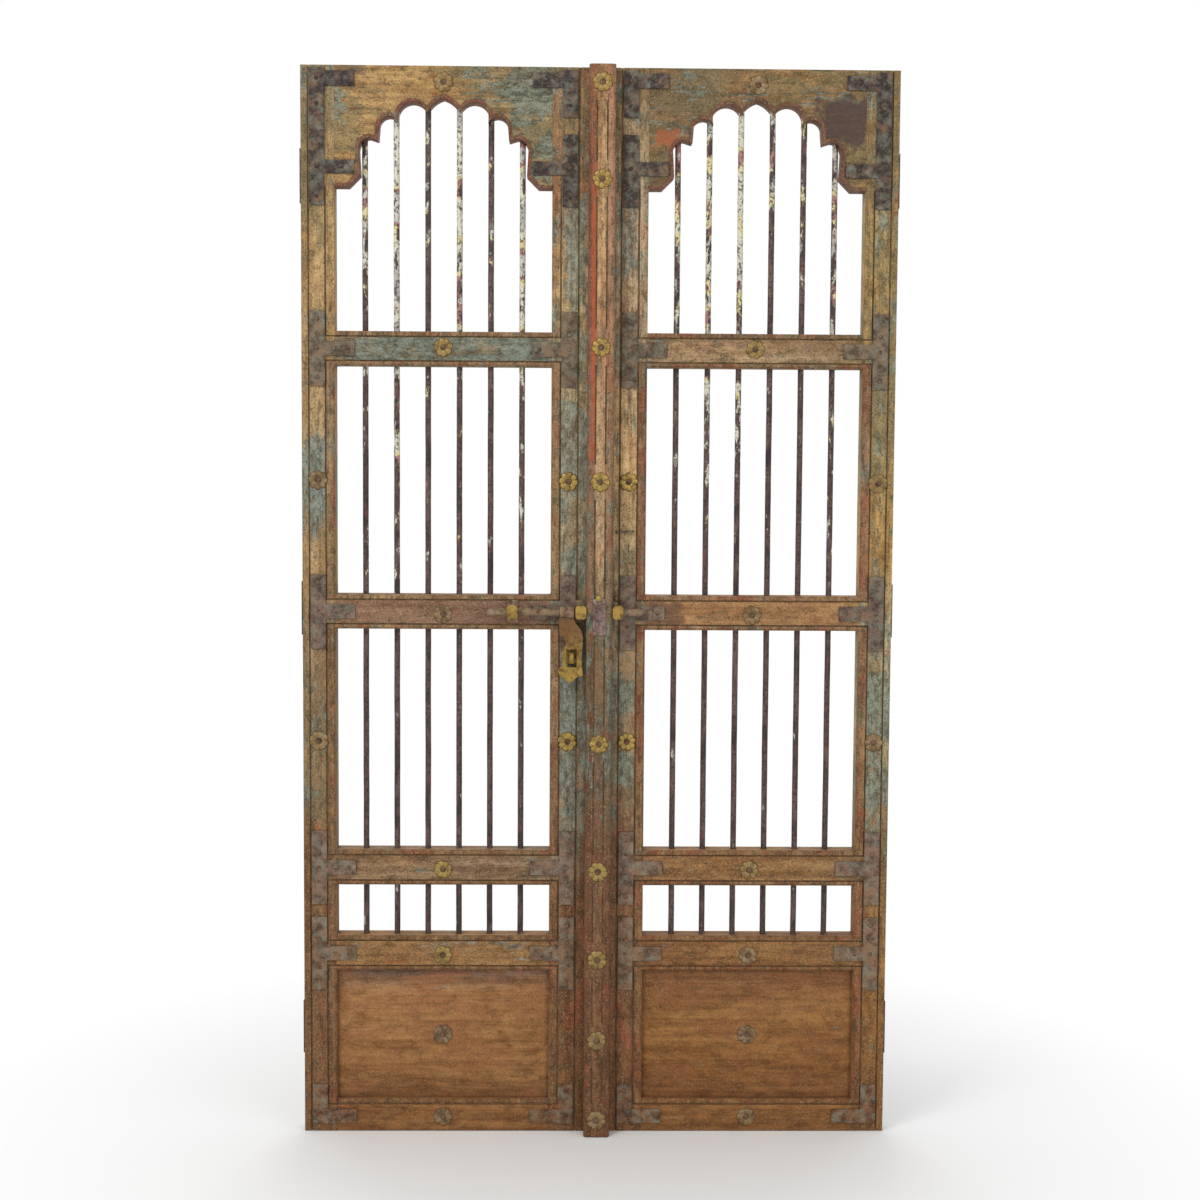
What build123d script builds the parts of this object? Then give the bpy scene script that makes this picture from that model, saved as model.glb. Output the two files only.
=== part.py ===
from build123d import *
import math
import os

# A pair of panelled doors with barred openings, a scalloped head, iron joint
# straps, brass rosettes, a cover strip and a sliding bolt with a hasp.
# Millimetres. X runs across the pair, Y goes back from the front face, Z goes
# up. Lengths are first laid out from the middle of the pair at floor level;
# save_piece moves them to the origin on the left middle hinge.

# Leaf sizes
leaf_height = 2000.0
pair_width = 1105.0
joint_gap = 10.0
leaf_thickness = 40.0
outer_stile_width = 61.5
meeting_stile_width = 84.0

# Rails: how wide they are, and the share of the leaf height at which each
# lower edge stands. The lock rail goes with the bolt instead.
bottom_rail_width = 61.5
panel_rail_width = 67.5
third_rail_width = 67.5
lock_rail_width = 65.0
upper_rail_width = 64.0
panel_rail_share = 0.1555
third_rail_share = 0.23775
upper_rail_share = 0.726
lock_rail_drop = 35.0
head_depth = 220.0

# Half of the scalloped edge, from the shoulder in to the point, as shares of
# half the opening and of the depth of the head
arch_points = [
    [(1.0, 0.0), (0.8756, 0.0)],
    [(0.8756, 0.0), (0.7662, 0.1)],
    [(0.7662, 0.1), (0.7786, 0.3)],
    [(0.7786, 0.3), (0.7512, 0.3773), (0.6816, 0.4091)],
    [(0.6816, 0.4091), (0.602, 0.3864)],
    [(0.602, 0.3864), (0.592, 0.4909)],
    [(0.592, 0.4909), (0.5075, 0.5864), (0.4104, 0.5364)],
    [(0.4104, 0.5364), (0.2786, 0.7045), (0.1517, 0.6182)],
    [(0.1517, 0.6182), (0.0945, 0.6909), (0.0, 0.7409)],
]
arch_foot = 30.0

# Joinery
tenon_length = 34.0
tenon_thickness = 12.0
tenon_shoulder = 9.0
panel_groove = 8.0

# Mouldings cut in the front faces
side_moulding = 15.5
rail_moulding = 8.0
moulding_groove = 3.0
groove_depth = 3.0
edge_bevel = 4.0
outer_bead = 12.0
arch_rim_width = 6.0
arch_rim_height = 2.0

# Bars
bar_count = 6
bar_diameter = 11.0
bar_margin = 55.0
bar_seat = 34.0
bar_cover = 38.0

# Raised panel
panel_plate = 12.0
panel_bevel_width = 24.0
panel_bevel_rise = 8.0

# Iron straps
strap_width = 28.0
strap_thickness = 3.0
strap_length = 140.0
strap_arm = 55.0
strap_arm_width = 27.0
strap_edge = 15.5
meeting_strap_edge = 19.0
foot_strap_low = 15.0
foot_strap_length = 76.0
foot_arm_middle = 29.0
head_strap_gap = 5.0
head_strap_length = 86.0
head_arm_drop = 24.0
shoulder_strap_drop = 34.0
shoulder_strap_length = 132.0
shoulder_arm_rise = 36.0
shoulder_arm_width = 25.0

# Cover strip
strip_centre = 2.5
strip_width = 49.0
strip_proud = 36.0
strip_rebate = 5.0
strip_round = 8.0
strip_groove_place = 9.5
strip_groove_width = 3.0
strip_groove_depth = 2.5
strip_pad_height = 66.0
plate_width = 24.0
plate_thickness = 1.5
plate_above_bolt = 26.0
plate_below_bolt = 42.0

# Rosettes
rosette_radius = 18.5
rosette_valley = 15.0
rosette_thickness = 2.0
nail_radius = 5.0
nail_height = 2.5
nail_slope = 40.0
rosette_drop = 3.5
upper_rosette_rise = 3.0
head_rosette_drop = 29.0
strip_end_gap = 32.5
shoulder_rosette_rise = 13.0

# Bolt and hasp
bolt_height = 997.0
bolt_depth = -21.0
bolt_diameter = 13.5
bolt_left = -207.0
bolt_right = 101.0
bolt_taper = 26.0
bolt_tip_diameter = 7.5
guide_width = 20.0
guide_across = 25.0
guide_corner = 6.0
guide_clearance = 0.3
guide_foot = 17.0
guide_flange = 43.0
guide_flange_thickness = 3.0
first_guide_place = -160.0
hasp_centre = -53.0
hasp_thickness = 4.0
hasp_eye_radius = 10.5
hasp_eye_left = 18.0
hasp_eye_length = 26.0
staple_width = 9.0
staple_wire = 6.5
staple_spread = 14.5
staple_drop = 85.5
staple_reach = 40.0
staple_round = 1.5
staple_shift = 4.0
slot_clearance = 5.1
slot_room = 6.2
staple_plate = 24.0
staple_plate_thickness = 2.0

# Outline of the hasp from its top right corner round, across from its middle
# and down from the bolt
hasp_outline = [
    (8.0, 0.0),
    (8.0, -12.0),
    (12.0, -21.5),
    (21.0, -32.0),
    (25.5, -44.0),
    (25.5, -56.0),
    (24.5, -66.0),
    (23.0, -81.0),
    (22.5, -102.5),
    (25.5, -112.0),
    (24.5, -119.0),
    (13.0, -123.0),
    (6.0, -129.5),
    (0.0, -133.0),
    (-5.5, -129.0),
    (-10.0, -123.0),
    (-18.5, -118.0),
    (-21.5, -111.0),
    (-19.0, -104.0),
    (-12.8, -101.0),
    (-14.0, -86.0),
    (-12.8, -71.0),
    (-6.5, -58.5),
    (-9.0, -52.0),
    (-17.0, -44.0),
    (-20.0, -39.5),
    (-18.6, -33.0),
    (-20.0, -20.0),
    (-18.0, 0.0),
]

# Hinges
hinge_end_distance = 200.0
hinge_length = 100.0
flap_width = 32.0
flap_thickness = 2.5
flap_gap = 0.5
knuckle_radius = 6.0
knuckle_back = 7.0
knuckle_space = 0.4
pin_diameter = 5.0
pin_clearance = 0.15
screw_hole_radius = 2.5
screw_depth = 22.0
screw_spacing_y = 15.0
screw_spacing_z = 64.0

# Worked out from the sizes above
half_width = pair_width / 2
half_gap = joint_gap / 2
opening_width = half_width - half_gap - outer_stile_width - meeting_stile_width
leaf_centre = half_width - outer_stile_width - opening_width / 2
outer_edge = leaf_centre + opening_width / 2
meeting_edge = leaf_centre - opening_width / 2
outer_strap_place = half_width - strap_edge - strap_width / 2
meeting_strap_place = meeting_edge - meeting_strap_edge - strap_width / 2
shoulder_height = leaf_height - head_depth
bottom_rail_top = bottom_rail_width
panel_rail_low = leaf_height * panel_rail_share
third_rail_low = leaf_height * third_rail_share
lock_rail_low = bolt_height - lock_rail_drop
upper_rail_low = leaf_height * upper_rail_share
panel_rail_top = panel_rail_low + panel_rail_width
third_rail_top = third_rail_low + third_rail_width
lock_rail_top = lock_rail_low + lock_rail_width
upper_rail_top = upper_rail_low + upper_rail_width
bar_foot = panel_rail_low + bar_seat
bar_head = leaf_height - bar_cover
bar_pitch = (opening_width - 2 * bar_margin) / (bar_count - 1)
hinge_heights = (hinge_end_distance, leaf_height / 2, leaf_height - hinge_end_distance)
middle_depth = leaf_thickness / 2
flap_front = leaf_thickness - flap_width
frame_face = half_width + flap_gap + flap_thickness
pin_place = half_width + flap_gap / 2
pin_depth = leaf_thickness + knuckle_back
strip_left = strip_centre - strip_width / 2
strip_right = strip_centre + strip_width / 2
strip_front = -strip_proud
bar_places = [(i - (bar_count - 1) / 2) * bar_pitch for i in range(bar_count)]

# Row origin: middle of the outer face of the left middle frame flap
origin_x = -frame_face
origin_y = leaf_thickness - flap_width / 2
origin_z = hinge_heights[1]

rails = {
    "bottom_rail": (0.0, bottom_rail_top),
    "panel_rail": (panel_rail_low, panel_rail_top),
    "third_rail": (third_rail_low, third_rail_top),
    "lock_rail": (lock_rail_low, lock_rail_top),
    "upper_rail": (upper_rail_low, upper_rail_top),
}
barred_openings = [
    (panel_rail_top, third_rail_low),
    (third_rail_top, lock_rail_low),
    (lock_rail_top, upper_rail_low),
]
panel_opening = (bottom_rail_top, panel_rail_low)
upper_rosette = upper_rail_low + upper_rail_width / 2 + upper_rosette_rise
rosette_rows = [
    upper_rosette,
    lock_rail_low + lock_rail_width / 2 - rosette_drop,
    third_rail_low + third_rail_width / 2 - rosette_drop,
    panel_rail_low + panel_rail_width / 2 - rosette_drop,
    bottom_rail_width / 2 - rosette_drop,
    leaf_height - head_rosette_drop,
]
stile_rosettes = [
    (third_rail_top + lock_rail_low) / 2 - 2.0,
    (lock_rail_top + upper_rail_low) / 2,
]
strip_rosettes = [
    strip_end_gap,
    (bottom_rail_top + panel_rail_low) / 2,
    panel_rail_low + panel_rail_width / 2 - rosette_drop,
    third_rail_low + third_rail_width / 2,
    stile_rosettes[0],
    stile_rosettes[1],
    upper_rosette,
    shoulder_height + shoulder_rosette_rise,
    leaf_height - strip_end_gap,
]


# Shared helpers
def block(x0, x1, y0, y1, z0, z1, mode=Mode.ADD):
    """Box between two corners, inside an open part."""
    place = ((x0 + x1) / 2, (y0 + y1) / 2, (z0 + z1) / 2)
    with Locations(place):
        Box(abs(x1 - x0), abs(y1 - y0), abs(z1 - z0), mode=mode)


def rod(start, end, radius, mode=Mode.ADD):
    """Round bar between two points, inside an open part."""
    way = Vector(*end) - Vector(*start)
    with BuildSketch(Plane(origin=start, z_dir=way)) as section:
        Circle(radius)
    extrude(section.sketch, amount=way.length, mode=mode)


def save_piece(piece, name):
    """Move a piece to the row origin, name it and write its file."""
    placed = piece.moved(Location((-origin_x, -origin_y, -origin_z)))
    placed.label = name
    export_step(placed, f"parts/{name}.step")


def cut_frame(low, high, centre):
    """Groove and bevel that frame one square opening on the front face."""
    half = opening_width / 2
    side_in = half + side_moulding
    side_out = side_in + moulding_groove
    low_out = low - rail_moulding - moulding_groove
    high_out = high + rail_moulding + moulding_groove
    for hand in (-1, 1):
        x0 = centre + hand * side_in
        x1 = centre + hand * side_out
        block(x0, x1, 0, groove_depth, low_out, high_out, Mode.SUBTRACT)
    for z0 in (low_out, high + rail_moulding):
        x0 = centre - side_out
        x1 = centre + side_out
        block(x0, x1, 0, groove_depth, z0, z0 + moulding_groove, Mode.SUBTRACT)
    with BuildSketch(Plane.XZ) as mouth:
        with Locations((centre, (low + high) / 2)):
            Rectangle(opening_width + 2 * edge_bevel, high - low + 2 * edge_bevel)
    extrude(mouth.sketch, amount=-edge_bevel, taper=45, mode=Mode.SUBTRACT)


def cut_all_frames(centre):
    """Frames of the square openings and of the panel."""
    for low, high in barred_openings + [panel_opening]:
        cut_frame(low, high, centre)


def cut_head_frame(centre):
    """Sides and sill of the frame round the arched opening."""
    half = opening_width / 2
    side_in = half + side_moulding
    side_out = side_in + moulding_groove
    low = upper_rail_top
    z0 = low - rail_moulding - moulding_groove
    for hand in (-1, 1):
        x0 = centre + hand * side_in
        x1 = centre + hand * side_out
        block(x0, x1, 0, groove_depth, z0, shoulder_height, Mode.SUBTRACT)
    x0 = centre - side_out
    block(x0, centre + side_out, 0, groove_depth, z0, z0 + moulding_groove, Mode.SUBTRACT)


def cut_bar_holes(centre):
    """Drilled holes that hold the bars, down to their feet."""
    for place in bar_places:
        x = centre + place
        start = (x, middle_depth, bar_foot)
        end = (x, middle_depth, bar_head)
        rod(start, end, bar_diameter / 2, Mode.SUBTRACT)


def tenon_block(low, high, x_from, x_to, mode):
    """One tenon, or the mortise that takes it."""
    y0 = middle_depth - tenon_thickness / 2
    y1 = middle_depth + tenon_thickness / 2
    block(x_from, x_to, y0, y1, low, high, mode)


def tenon_rows():
    """Low and high edge of every tenon in one stile."""
    rows = []
    for low, high in rails.values():
        foot = low + tenon_shoulder
        head = high - tenon_shoulder
        if low < 1.0:
            foot = low + 2 * tenon_shoulder
        rows.append((foot, head))
    rows.append((shoulder_height + 24.0, shoulder_height + 80.0))
    rows.append((shoulder_height + 116.0, leaf_height - 24.0))
    return rows


# Frame members of one leaf
def make_stile(side, x_inner, x_outer, bead_place, hinged):
    """Upright with mortises, panel groove, frame grooves and a bead line."""
    centre = side * leaf_centre
    with BuildPart() as stile:
        block(x_inner, x_outer, 0, leaf_thickness, 0, leaf_height)
        if abs(x_inner) > leaf_centre:
            mortise_start = side * outer_edge
            mortise_end = side * (outer_edge + tenon_length)
        else:
            mortise_start = side * meeting_edge
            mortise_end = side * (meeting_edge - tenon_length)
        for low, high in tenon_rows():
            tenon_block(low, high, mortise_start, mortise_end, Mode.SUBTRACT)
        y0 = middle_depth - panel_plate / 2
        y1 = middle_depth + panel_plate / 2
        groove_x = centre - opening_width / 2 - panel_groove
        groove_end = centre + opening_width / 2 + panel_groove
        z0 = bottom_rail_top - panel_groove
        z1 = panel_rail_low + panel_groove
        block(groove_x, groove_end, y0, y1, z0, z1, Mode.SUBTRACT)
        cut_all_frames(centre)
        cut_head_frame(centre)
        x0 = side * bead_place
        x1 = side * (bead_place + moulding_groove)
        block(x0, x1, 0, groove_depth, 0, leaf_height, Mode.SUBTRACT)
        if hinged:
            cut_hinge_seats(side)
    return stile.part


def cut_hinge_seats(side):
    """Seats and screw holes for the hinge flaps in the outer edge."""
    x0 = side * (half_width - flap_thickness)
    x1 = side * half_width
    for height in hinge_heights:
        z0 = height - hinge_length / 2
        z1 = height + hinge_length / 2
        block(x0, x1, flap_front, leaf_thickness, z0, z1, Mode.SUBTRACT)
        for dy, dz in screw_places():
            y = leaf_thickness - flap_width / 2 + dy
            start = (x0, y, height + dz)
            end = (x0 - side * screw_depth, y, height + dz)
            rod(start, end, screw_hole_radius, Mode.SUBTRACT)


def screw_places():
    """Four screw holes of one flap, from its middle."""
    half_y = screw_spacing_y / 2
    half_z = screw_spacing_z / 2
    return [(a * half_y, b * half_z) for a in (-1, 1) for b in (-1, 1)]


def make_rail(side, name):
    """Cross rail with tenons, drilled for the bars."""
    low, high = rails[name]
    centre = side * leaf_centre
    half = opening_width / 2
    foot = low + tenon_shoulder
    if low < 1.0:
        foot = low + 2 * tenon_shoulder
    with BuildPart() as rail:
        block(centre - half, centre + half, 0, leaf_thickness, low, high)
        reach = half + tenon_length
        tenon_block(foot, high - tenon_shoulder, centre - reach, centre + reach, Mode.ADD)
        if name in ("bottom_rail", "panel_rail"):
            y0 = middle_depth - panel_plate / 2
            y1 = middle_depth + panel_plate / 2
            z0 = bottom_rail_top - panel_groove
            z1 = panel_rail_low + panel_groove
            reach = half + panel_groove
            block(centre - reach, centre + reach, y0, y1, z0, z1, Mode.SUBTRACT)
        cut_all_frames(centre)
        cut_head_frame(centre)
        if name != "bottom_rail":
            cut_bar_holes(centre)
    return rail.part


# Scalloped head of one leaf
def arch_outline(centre):
    """Closed outline of the arched opening above the shoulder."""
    base = shoulder_height
    half = opening_width / 2
    for hand in (-1, 1):
        for edge in arch_points:
            points = [(centre + hand * x * half, base + z * head_depth) for x, z in edge]
            if len(points) == 2:
                Line(*points)
            else:
                ThreePointArc(*points)
    low = base - arch_foot
    left = (centre - half, low)
    right = (centre + half, low)
    Polyline((centre - half, base), left, right, (centre + half, base))


def make_arched_rail(side):
    """Top rail with the scalloped lower edge and its raised rim."""
    centre = side * leaf_centre
    half = opening_width / 2
    head = (shoulder_height + leaf_height) / 2
    with BuildPart() as rail:
        with BuildSketch(Plane.XZ):
            with Locations((centre, head)):
                Rectangle(opening_width, leaf_height - shoulder_height)
            with BuildLine():
                arch_outline(centre)
            make_face(mode=Mode.SUBTRACT)
        extrude(amount=-leaf_thickness)
        with BuildSketch(Plane.XZ):
            with BuildLine():
                arch_outline(centre)
            make_face()
            offset(amount=arch_rim_width, kind=Kind.ARC)
            with BuildLine():
                arch_outline(centre)
            make_face(mode=Mode.SUBTRACT)
            with Locations((centre, head)):
                Rectangle(opening_width, leaf_height - shoulder_height, mode=Mode.INTERSECT)
        extrude(amount=arch_rim_height)
        for low, high in tenon_rows()[-2:]:
            for hand in (-1, 1):
                x0 = centre + hand * half
                tenon_block(low, high, x0, x0 + hand * tenon_length, Mode.ADD)
        cut_bar_holes(centre)
    return rail.part


# Raised panel and bars of one leaf
def make_panel(side):
    """Panel plate in its grooves with a bevelled raised field."""
    centre = side * leaf_centre
    low, high = panel_opening
    reach = opening_width / 2 + panel_groove
    y0 = middle_depth - panel_plate / 2
    slope = math.degrees(math.atan2(panel_bevel_width, panel_bevel_rise))
    with BuildPart() as panel:
        z0 = low - panel_groove
        z1 = high + panel_groove
        block(centre - reach, centre + reach, y0, y0 + panel_plate, z0, z1)
        with BuildSketch(Plane.XZ.offset(-y0)):
            with Locations((centre, (low + high) / 2)):
                Rectangle(opening_width - 0.2, high - low - 0.2)
        extrude(amount=panel_bevel_rise, taper=slope)
    return panel.part


def make_bars(side):
    """Six round bars that run through every rail."""
    centre = side * leaf_centre
    with BuildPart() as bars:
        for place in bar_places:
            x = centre + place
            rod((x, middle_depth, bar_foot), (x, middle_depth, bar_head), bar_diameter / 2)
    return bars.part


# Iron straps of one leaf
def strap_upright(side, place, low, high):
    """Upright plate of one strap."""
    x0 = side * place - strap_width / 2
    block(x0, x0 + strap_width, -strap_thickness, 0, low, high)


def strap_reach(side, place, inward, middle, height=None):
    """Arm of one strap towards the opening."""
    height = height or strap_arm_width
    x1 = side * (place + inward * (strap_width / 2 + strap_arm))
    low = middle - height / 2
    block(side * place, x1, -strap_thickness, 0, low, low + height)


def make_straps(side, place, inward):
    """All straps on one stile: a cross at each rail, corners at the ends."""
    with BuildPart() as straps:
        for name in ("panel_rail", "third_rail", "lock_rail", "upper_rail"):
            low, high = rails[name]
            middle = (low + high) / 2
            strap_upright(side, place, middle - strap_length / 2, middle + strap_length / 2)
            strap_reach(side, place, inward, middle)
        strap_upright(side, place, foot_strap_low, foot_strap_low + foot_strap_length)
        strap_reach(side, place, inward, foot_arm_middle)
        head_end = leaf_height - head_strap_gap
        foot_end = shoulder_height - shoulder_strap_drop
        if inward < 0:
            strap_upright(side, place, foot_end, head_end)
        else:
            strap_upright(side, place, head_end - head_strap_length, head_end)
            strap_upright(side, place, foot_end, foot_end + shoulder_strap_length)
        strap_reach(side, place, inward, leaf_height - head_arm_drop)
        strap_reach(side, place, inward, shoulder_height + shoulder_arm_rise, shoulder_arm_width)
    return straps.part


# Rosettes
def rosette(x, y, z):
    """Eight petals and a domed nail, standing on the face at depth y."""
    points = []
    for i in range(16):
        reach = rosette_radius if i % 2 == 0 else rosette_valley
        turn = 2 * math.pi * i / 16
        points.append((x + reach * math.sin(turn), z + reach * math.cos(turn)))
    face = Plane.XZ.offset(-y)
    with BuildSketch(face) as petals:
        Polygon(*points, align=None)
    extrude(petals.sketch, amount=rosette_thickness)
    with BuildSketch(face.offset(rosette_thickness)) as nail:
        with Locations((x, z)):
            RegularPolygon(nail_radius, 8)
    extrude(nail.sketch, amount=nail_height, taper=nail_slope)


def make_leaf_rosettes(side):
    """Rosettes on the rails, the panel and the stiles of one leaf."""
    centre = side * leaf_centre
    low, high = panel_opening
    field = middle_depth - panel_plate / 2 - panel_bevel_rise
    with BuildPart() as rosettes:
        for z in rosette_rows:
            rosette(centre, 0, z)
        rosette(centre, field, (low + high) / 2)
        for z in stile_rosettes:
            rosette(side * outer_strap_place, 0, z)
            rosette(side * meeting_strap_place, 0, z)
    return rosettes.part


# Cover strip over the joint, fixed to the left leaf
def make_cover_strip():
    """Reeded strip with a pad under each rosette."""
    back = -strip_rebate
    with BuildPart() as strip:
        block(strip_left, strip_right, strip_front, back, 0, leaf_height)
        corners = strip.edges().filter_by(Axis.Z).group_by(Axis.Y)[0]
        fillet(corners, radius=strip_round)
        block(strip_left, -half_gap, back, 0, 0, leaf_height)
        half_pad = strip_pad_height / 2
        stops = [0.0]
        for z in strip_rosettes:
            stops += [max(z - half_pad, 0.0), min(z + half_pad, leaf_height)]
        stops.append(leaf_height)
        for low, high in zip(stops[0::2], stops[1::2]):
            if high - low < 1.0:
                continue
            for hand in (-1, 1):
                x0 = strip_centre + hand * strip_groove_place - strip_groove_width / 2
                x1 = x0 + strip_groove_width
                y1 = strip_front + strip_groove_depth
                block(x0, x1, strip_front, y1, low, high, Mode.SUBTRACT)
        start = (strip_left - 1, bolt_depth, bolt_height)
        end = (strip_right + 1, bolt_depth, bolt_height)
        rod(start, end, bolt_diameter / 2 + guide_clearance, Mode.SUBTRACT)
    return strip.part


def make_strip_rosettes():
    """Row of rosettes on the pads of the cover strip."""
    with BuildPart() as rosettes:
        for z in strip_rosettes:
            rosette(strip_centre, strip_front, z)
    return rosettes.part


def make_strip_plate():
    """Small plate on the strip where the bolt runs through it."""
    with BuildPart() as plate:
        x0 = strip_centre - plate_width / 2
        z0 = bolt_height - plate_below_bolt
        z1 = bolt_height + plate_above_bolt
        block(x0, x0 + plate_width, strip_front - plate_thickness, strip_front, z0, z1)
    return plate.part


# Bolt, its guides, the hasp and the padlock staple
def guide(x0, foot):
    """Barrel round the bolt, with a foot down to the leaf."""
    face = Plane(origin=(x0 + guide_width / 2, 0, bolt_height), x_dir=(1, 0, 0), z_dir=(0, -1, 0))
    half = guide_across / 2
    with BuildSketch(face.offset(-bolt_depth - half)) as barrel:
        RectangleRounded(guide_width, guide_across, guide_corner)
    extrude(barrel.sketch, amount=guide_across)
    if foot:
        z0 = bolt_height - guide_foot / 2
        block(x0, x0 + guide_width, bolt_depth, 0, z0, z0 + guide_foot)
        z0 = bolt_height - guide_flange / 2
        block(x0, x0 + guide_width, -guide_flange_thickness, 0, z0, z0 + guide_flange)


def make_bolt_guides():
    """One guide on the lock rail and a bush on each side of the strip."""
    with BuildPart() as guides:
        guide(first_guide_place - guide_width / 2, True)
        guide(strip_left - guide_width, True)
        guide(strip_right, False)
        start = (first_guide_place - guide_width, bolt_depth, bolt_height)
        end = (strip_right + 2 * guide_width, bolt_depth, bolt_height)
        rod(start, end, bolt_diameter / 2 + guide_clearance, Mode.SUBTRACT)
    return guides.part


def make_bolt_rod():
    """Round bolt with a tapered free end."""
    taper_from = bolt_right - bolt_taper
    with BuildPart() as bolt:
        start = (bolt_left, bolt_depth, bolt_height)
        rod(start, (taper_from, bolt_depth, bolt_height), bolt_diameter / 2)
        first = Plane(origin=(taper_from, bolt_depth, bolt_height), z_dir=(1, 0, 0))
        with BuildSketch(first):
            Circle(bolt_diameter / 2)
        with BuildSketch(first.offset(bolt_taper)):
            Circle(bolt_tip_diameter / 2)
        loft()
    return bolt.part


def make_hasp():
    """Flat hasp that hangs from the bolt, slotted for the staple."""
    outline = [(hasp_centre + x, bolt_height + z) for x, z in hasp_outline]
    slot_width = staple_width + 2 * slot_clearance
    slot_height = staple_spread + staple_wire + 2 * slot_room
    slot_centre = (hasp_centre + staple_shift, bolt_height - staple_drop - 1.0)
    face = Plane.XZ.offset(-bolt_depth - hasp_thickness / 2)
    with BuildPart() as hasp:
        with BuildSketch(face):
            Polygon(*outline, align=None)
            with Locations(slot_centre):
                Rectangle(slot_width, slot_height, mode=Mode.SUBTRACT)
        extrude(amount=hasp_thickness)
        eye_start = hasp_centre - hasp_eye_left
        start = (eye_start, bolt_depth, bolt_height)
        end = (eye_start + hasp_eye_length, bolt_depth, bolt_height)
        rod(start, end, hasp_eye_radius)
        start = (eye_start - 1, bolt_depth, bolt_height)
        end = (eye_start + hasp_eye_length + 1, bolt_depth, bolt_height)
        rod(start, end, bolt_diameter / 2, Mode.SUBTRACT)
    return hasp.part


def make_padlock_staple():
    """Loop on the left leaf that stands through the slot of the hasp."""
    middle = bolt_height - staple_drop
    centre = hasp_centre + staple_shift
    half = staple_plate / 2
    left = centre - staple_width / 2
    inner = (staple_spread - staple_wire) / 2
    nose = staple_reach + staple_wire / 2 - inner - staple_wire
    with BuildPart() as staple:
        plate_left = centre - staple_plate * 0.4
        plate_right = centre + staple_plate * 0.4
        block(plate_left, plate_right, -staple_plate_thickness, 0, middle - half, middle + half)
        for radius, mode in ((inner + staple_wire, Mode.ADD), (inner, Mode.SUBTRACT)):
            rod((left, -nose, middle), (left + staple_width, -nose, middle), radius, mode)
            deep = 0 if mode == Mode.ADD else -staple_plate_thickness
            right = left + staple_width
            block(left, right, -nose, deep, middle - radius, middle + radius, mode)
        bend = staple.edges().filter_by(GeomType.CIRCLE).group_by(Axis.Y)[0]
        chamfer(bend, length=staple_round)
    return staple.part


# Hinges
def knuckle_spans():
    """Five knuckles of one hinge: even ones on the frame flap."""
    pitch = hinge_length / 5
    spans = []
    for i in range(5):
        low = -hinge_length / 2 + i * pitch
        spans.append((low + knuckle_space / 2, low + pitch - knuckle_space / 2))
    return spans


def make_flaps(side, on_frame):
    """Three hinge flaps with their knuckles on one side of the joint."""
    if on_frame:
        x0 = side * (half_width + flap_gap)
        x1 = side * (half_width + flap_gap + flap_thickness)
        bore = pin_diameter / 2
    else:
        x0 = side * half_width
        x1 = side * (half_width - flap_thickness)
        bore = pin_diameter / 2 + pin_clearance
    own = 0 if on_frame else 1
    with BuildPart() as flaps:
        for height in hinge_heights:
            low = height - hinge_length / 2
            block(x0, x1, flap_front, leaf_thickness, low, low + hinge_length)
            for i, (z0, z1) in enumerate(knuckle_spans()):
                if i % 2 == own:
                    block(x0, x1, leaf_thickness, pin_depth, height + z0, height + z1)
                    foot = (side * pin_place, pin_depth, height + z0)
                    rod(foot, (side * pin_place, pin_depth, height + z1), knuckle_radius)
            foot = (side * pin_place, pin_depth, low - 1)
            head = (side * pin_place, pin_depth, low + hinge_length + 1)
            rod(foot, head, bore, Mode.SUBTRACT)
            for dy, dz in screw_places():
                y = leaf_thickness - flap_width / 2 + dy
                start = (side * (half_width - 10), y, height + dz)
                end = (side * (half_width + 10), y, height + dz)
                rod(start, end, screw_hole_radius, Mode.SUBTRACT)
    return flaps.part


def make_pins(side):
    """Three hinge pins of one leaf."""
    with BuildPart() as pins:
        for height in hinge_heights:
            foot = (side * pin_place, pin_depth, height - hinge_length / 2)
            head = (side * pin_place, pin_depth, height + hinge_length / 2)
            rod(foot, head, pin_diameter / 2)
    return pins.part


# Write every piece
os.makedirs("parts", exist_ok=True)
for side, hand in ((-1, "left"), (1, "right")):
    outer_in = side * outer_edge
    outer_out = side * half_width
    bead = half_width - outer_bead - moulding_groove
    save_piece(make_stile(side, outer_in, outer_out, bead, True), f"{hand}_outer_stile")
    meeting_in = side * meeting_edge
    meeting_out = side * half_gap
    bead = meeting_strap_place - strap_width / 2 - 1.5 - moulding_groove
    save_piece(make_stile(side, meeting_in, meeting_out, bead, False), f"{hand}_meeting_stile")
    for rail_name in rails:
        save_piece(make_rail(side, rail_name), f"{hand}_{rail_name}")
    save_piece(make_arched_rail(side), f"{hand}_arched_rail")
    save_piece(make_panel(side), f"{hand}_panel")
    save_piece(make_bars(side), f"{hand}_bars")
    save_piece(make_straps(side, outer_strap_place, -1), f"{hand}_outer_straps")
    save_piece(make_straps(side, meeting_strap_place, 1), f"{hand}_meeting_straps")
    save_piece(make_leaf_rosettes(side), f"{hand}_rosettes")
    save_piece(make_flaps(side, False), f"{hand}_leaf_flaps")
    save_piece(make_flaps(side, True), f"{hand}_frame_flaps")
    save_piece(make_pins(side), f"{hand}_hinge_pins")
save_piece(make_cover_strip(), "cover_strip")
save_piece(make_strip_rosettes(), "strip_rosettes")
save_piece(make_strip_plate(), "strip_plate")
save_piece(make_bolt_guides(), "bolt_guides")
save_piece(make_bolt_rod(), "bolt_rod")
save_piece(make_hasp(), "hasp")
save_piece(make_padlock_staple(), "padlock_staple")
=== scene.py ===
import math
import bmesh
import bpy
from mathutils import Matrix, Vector


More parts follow.
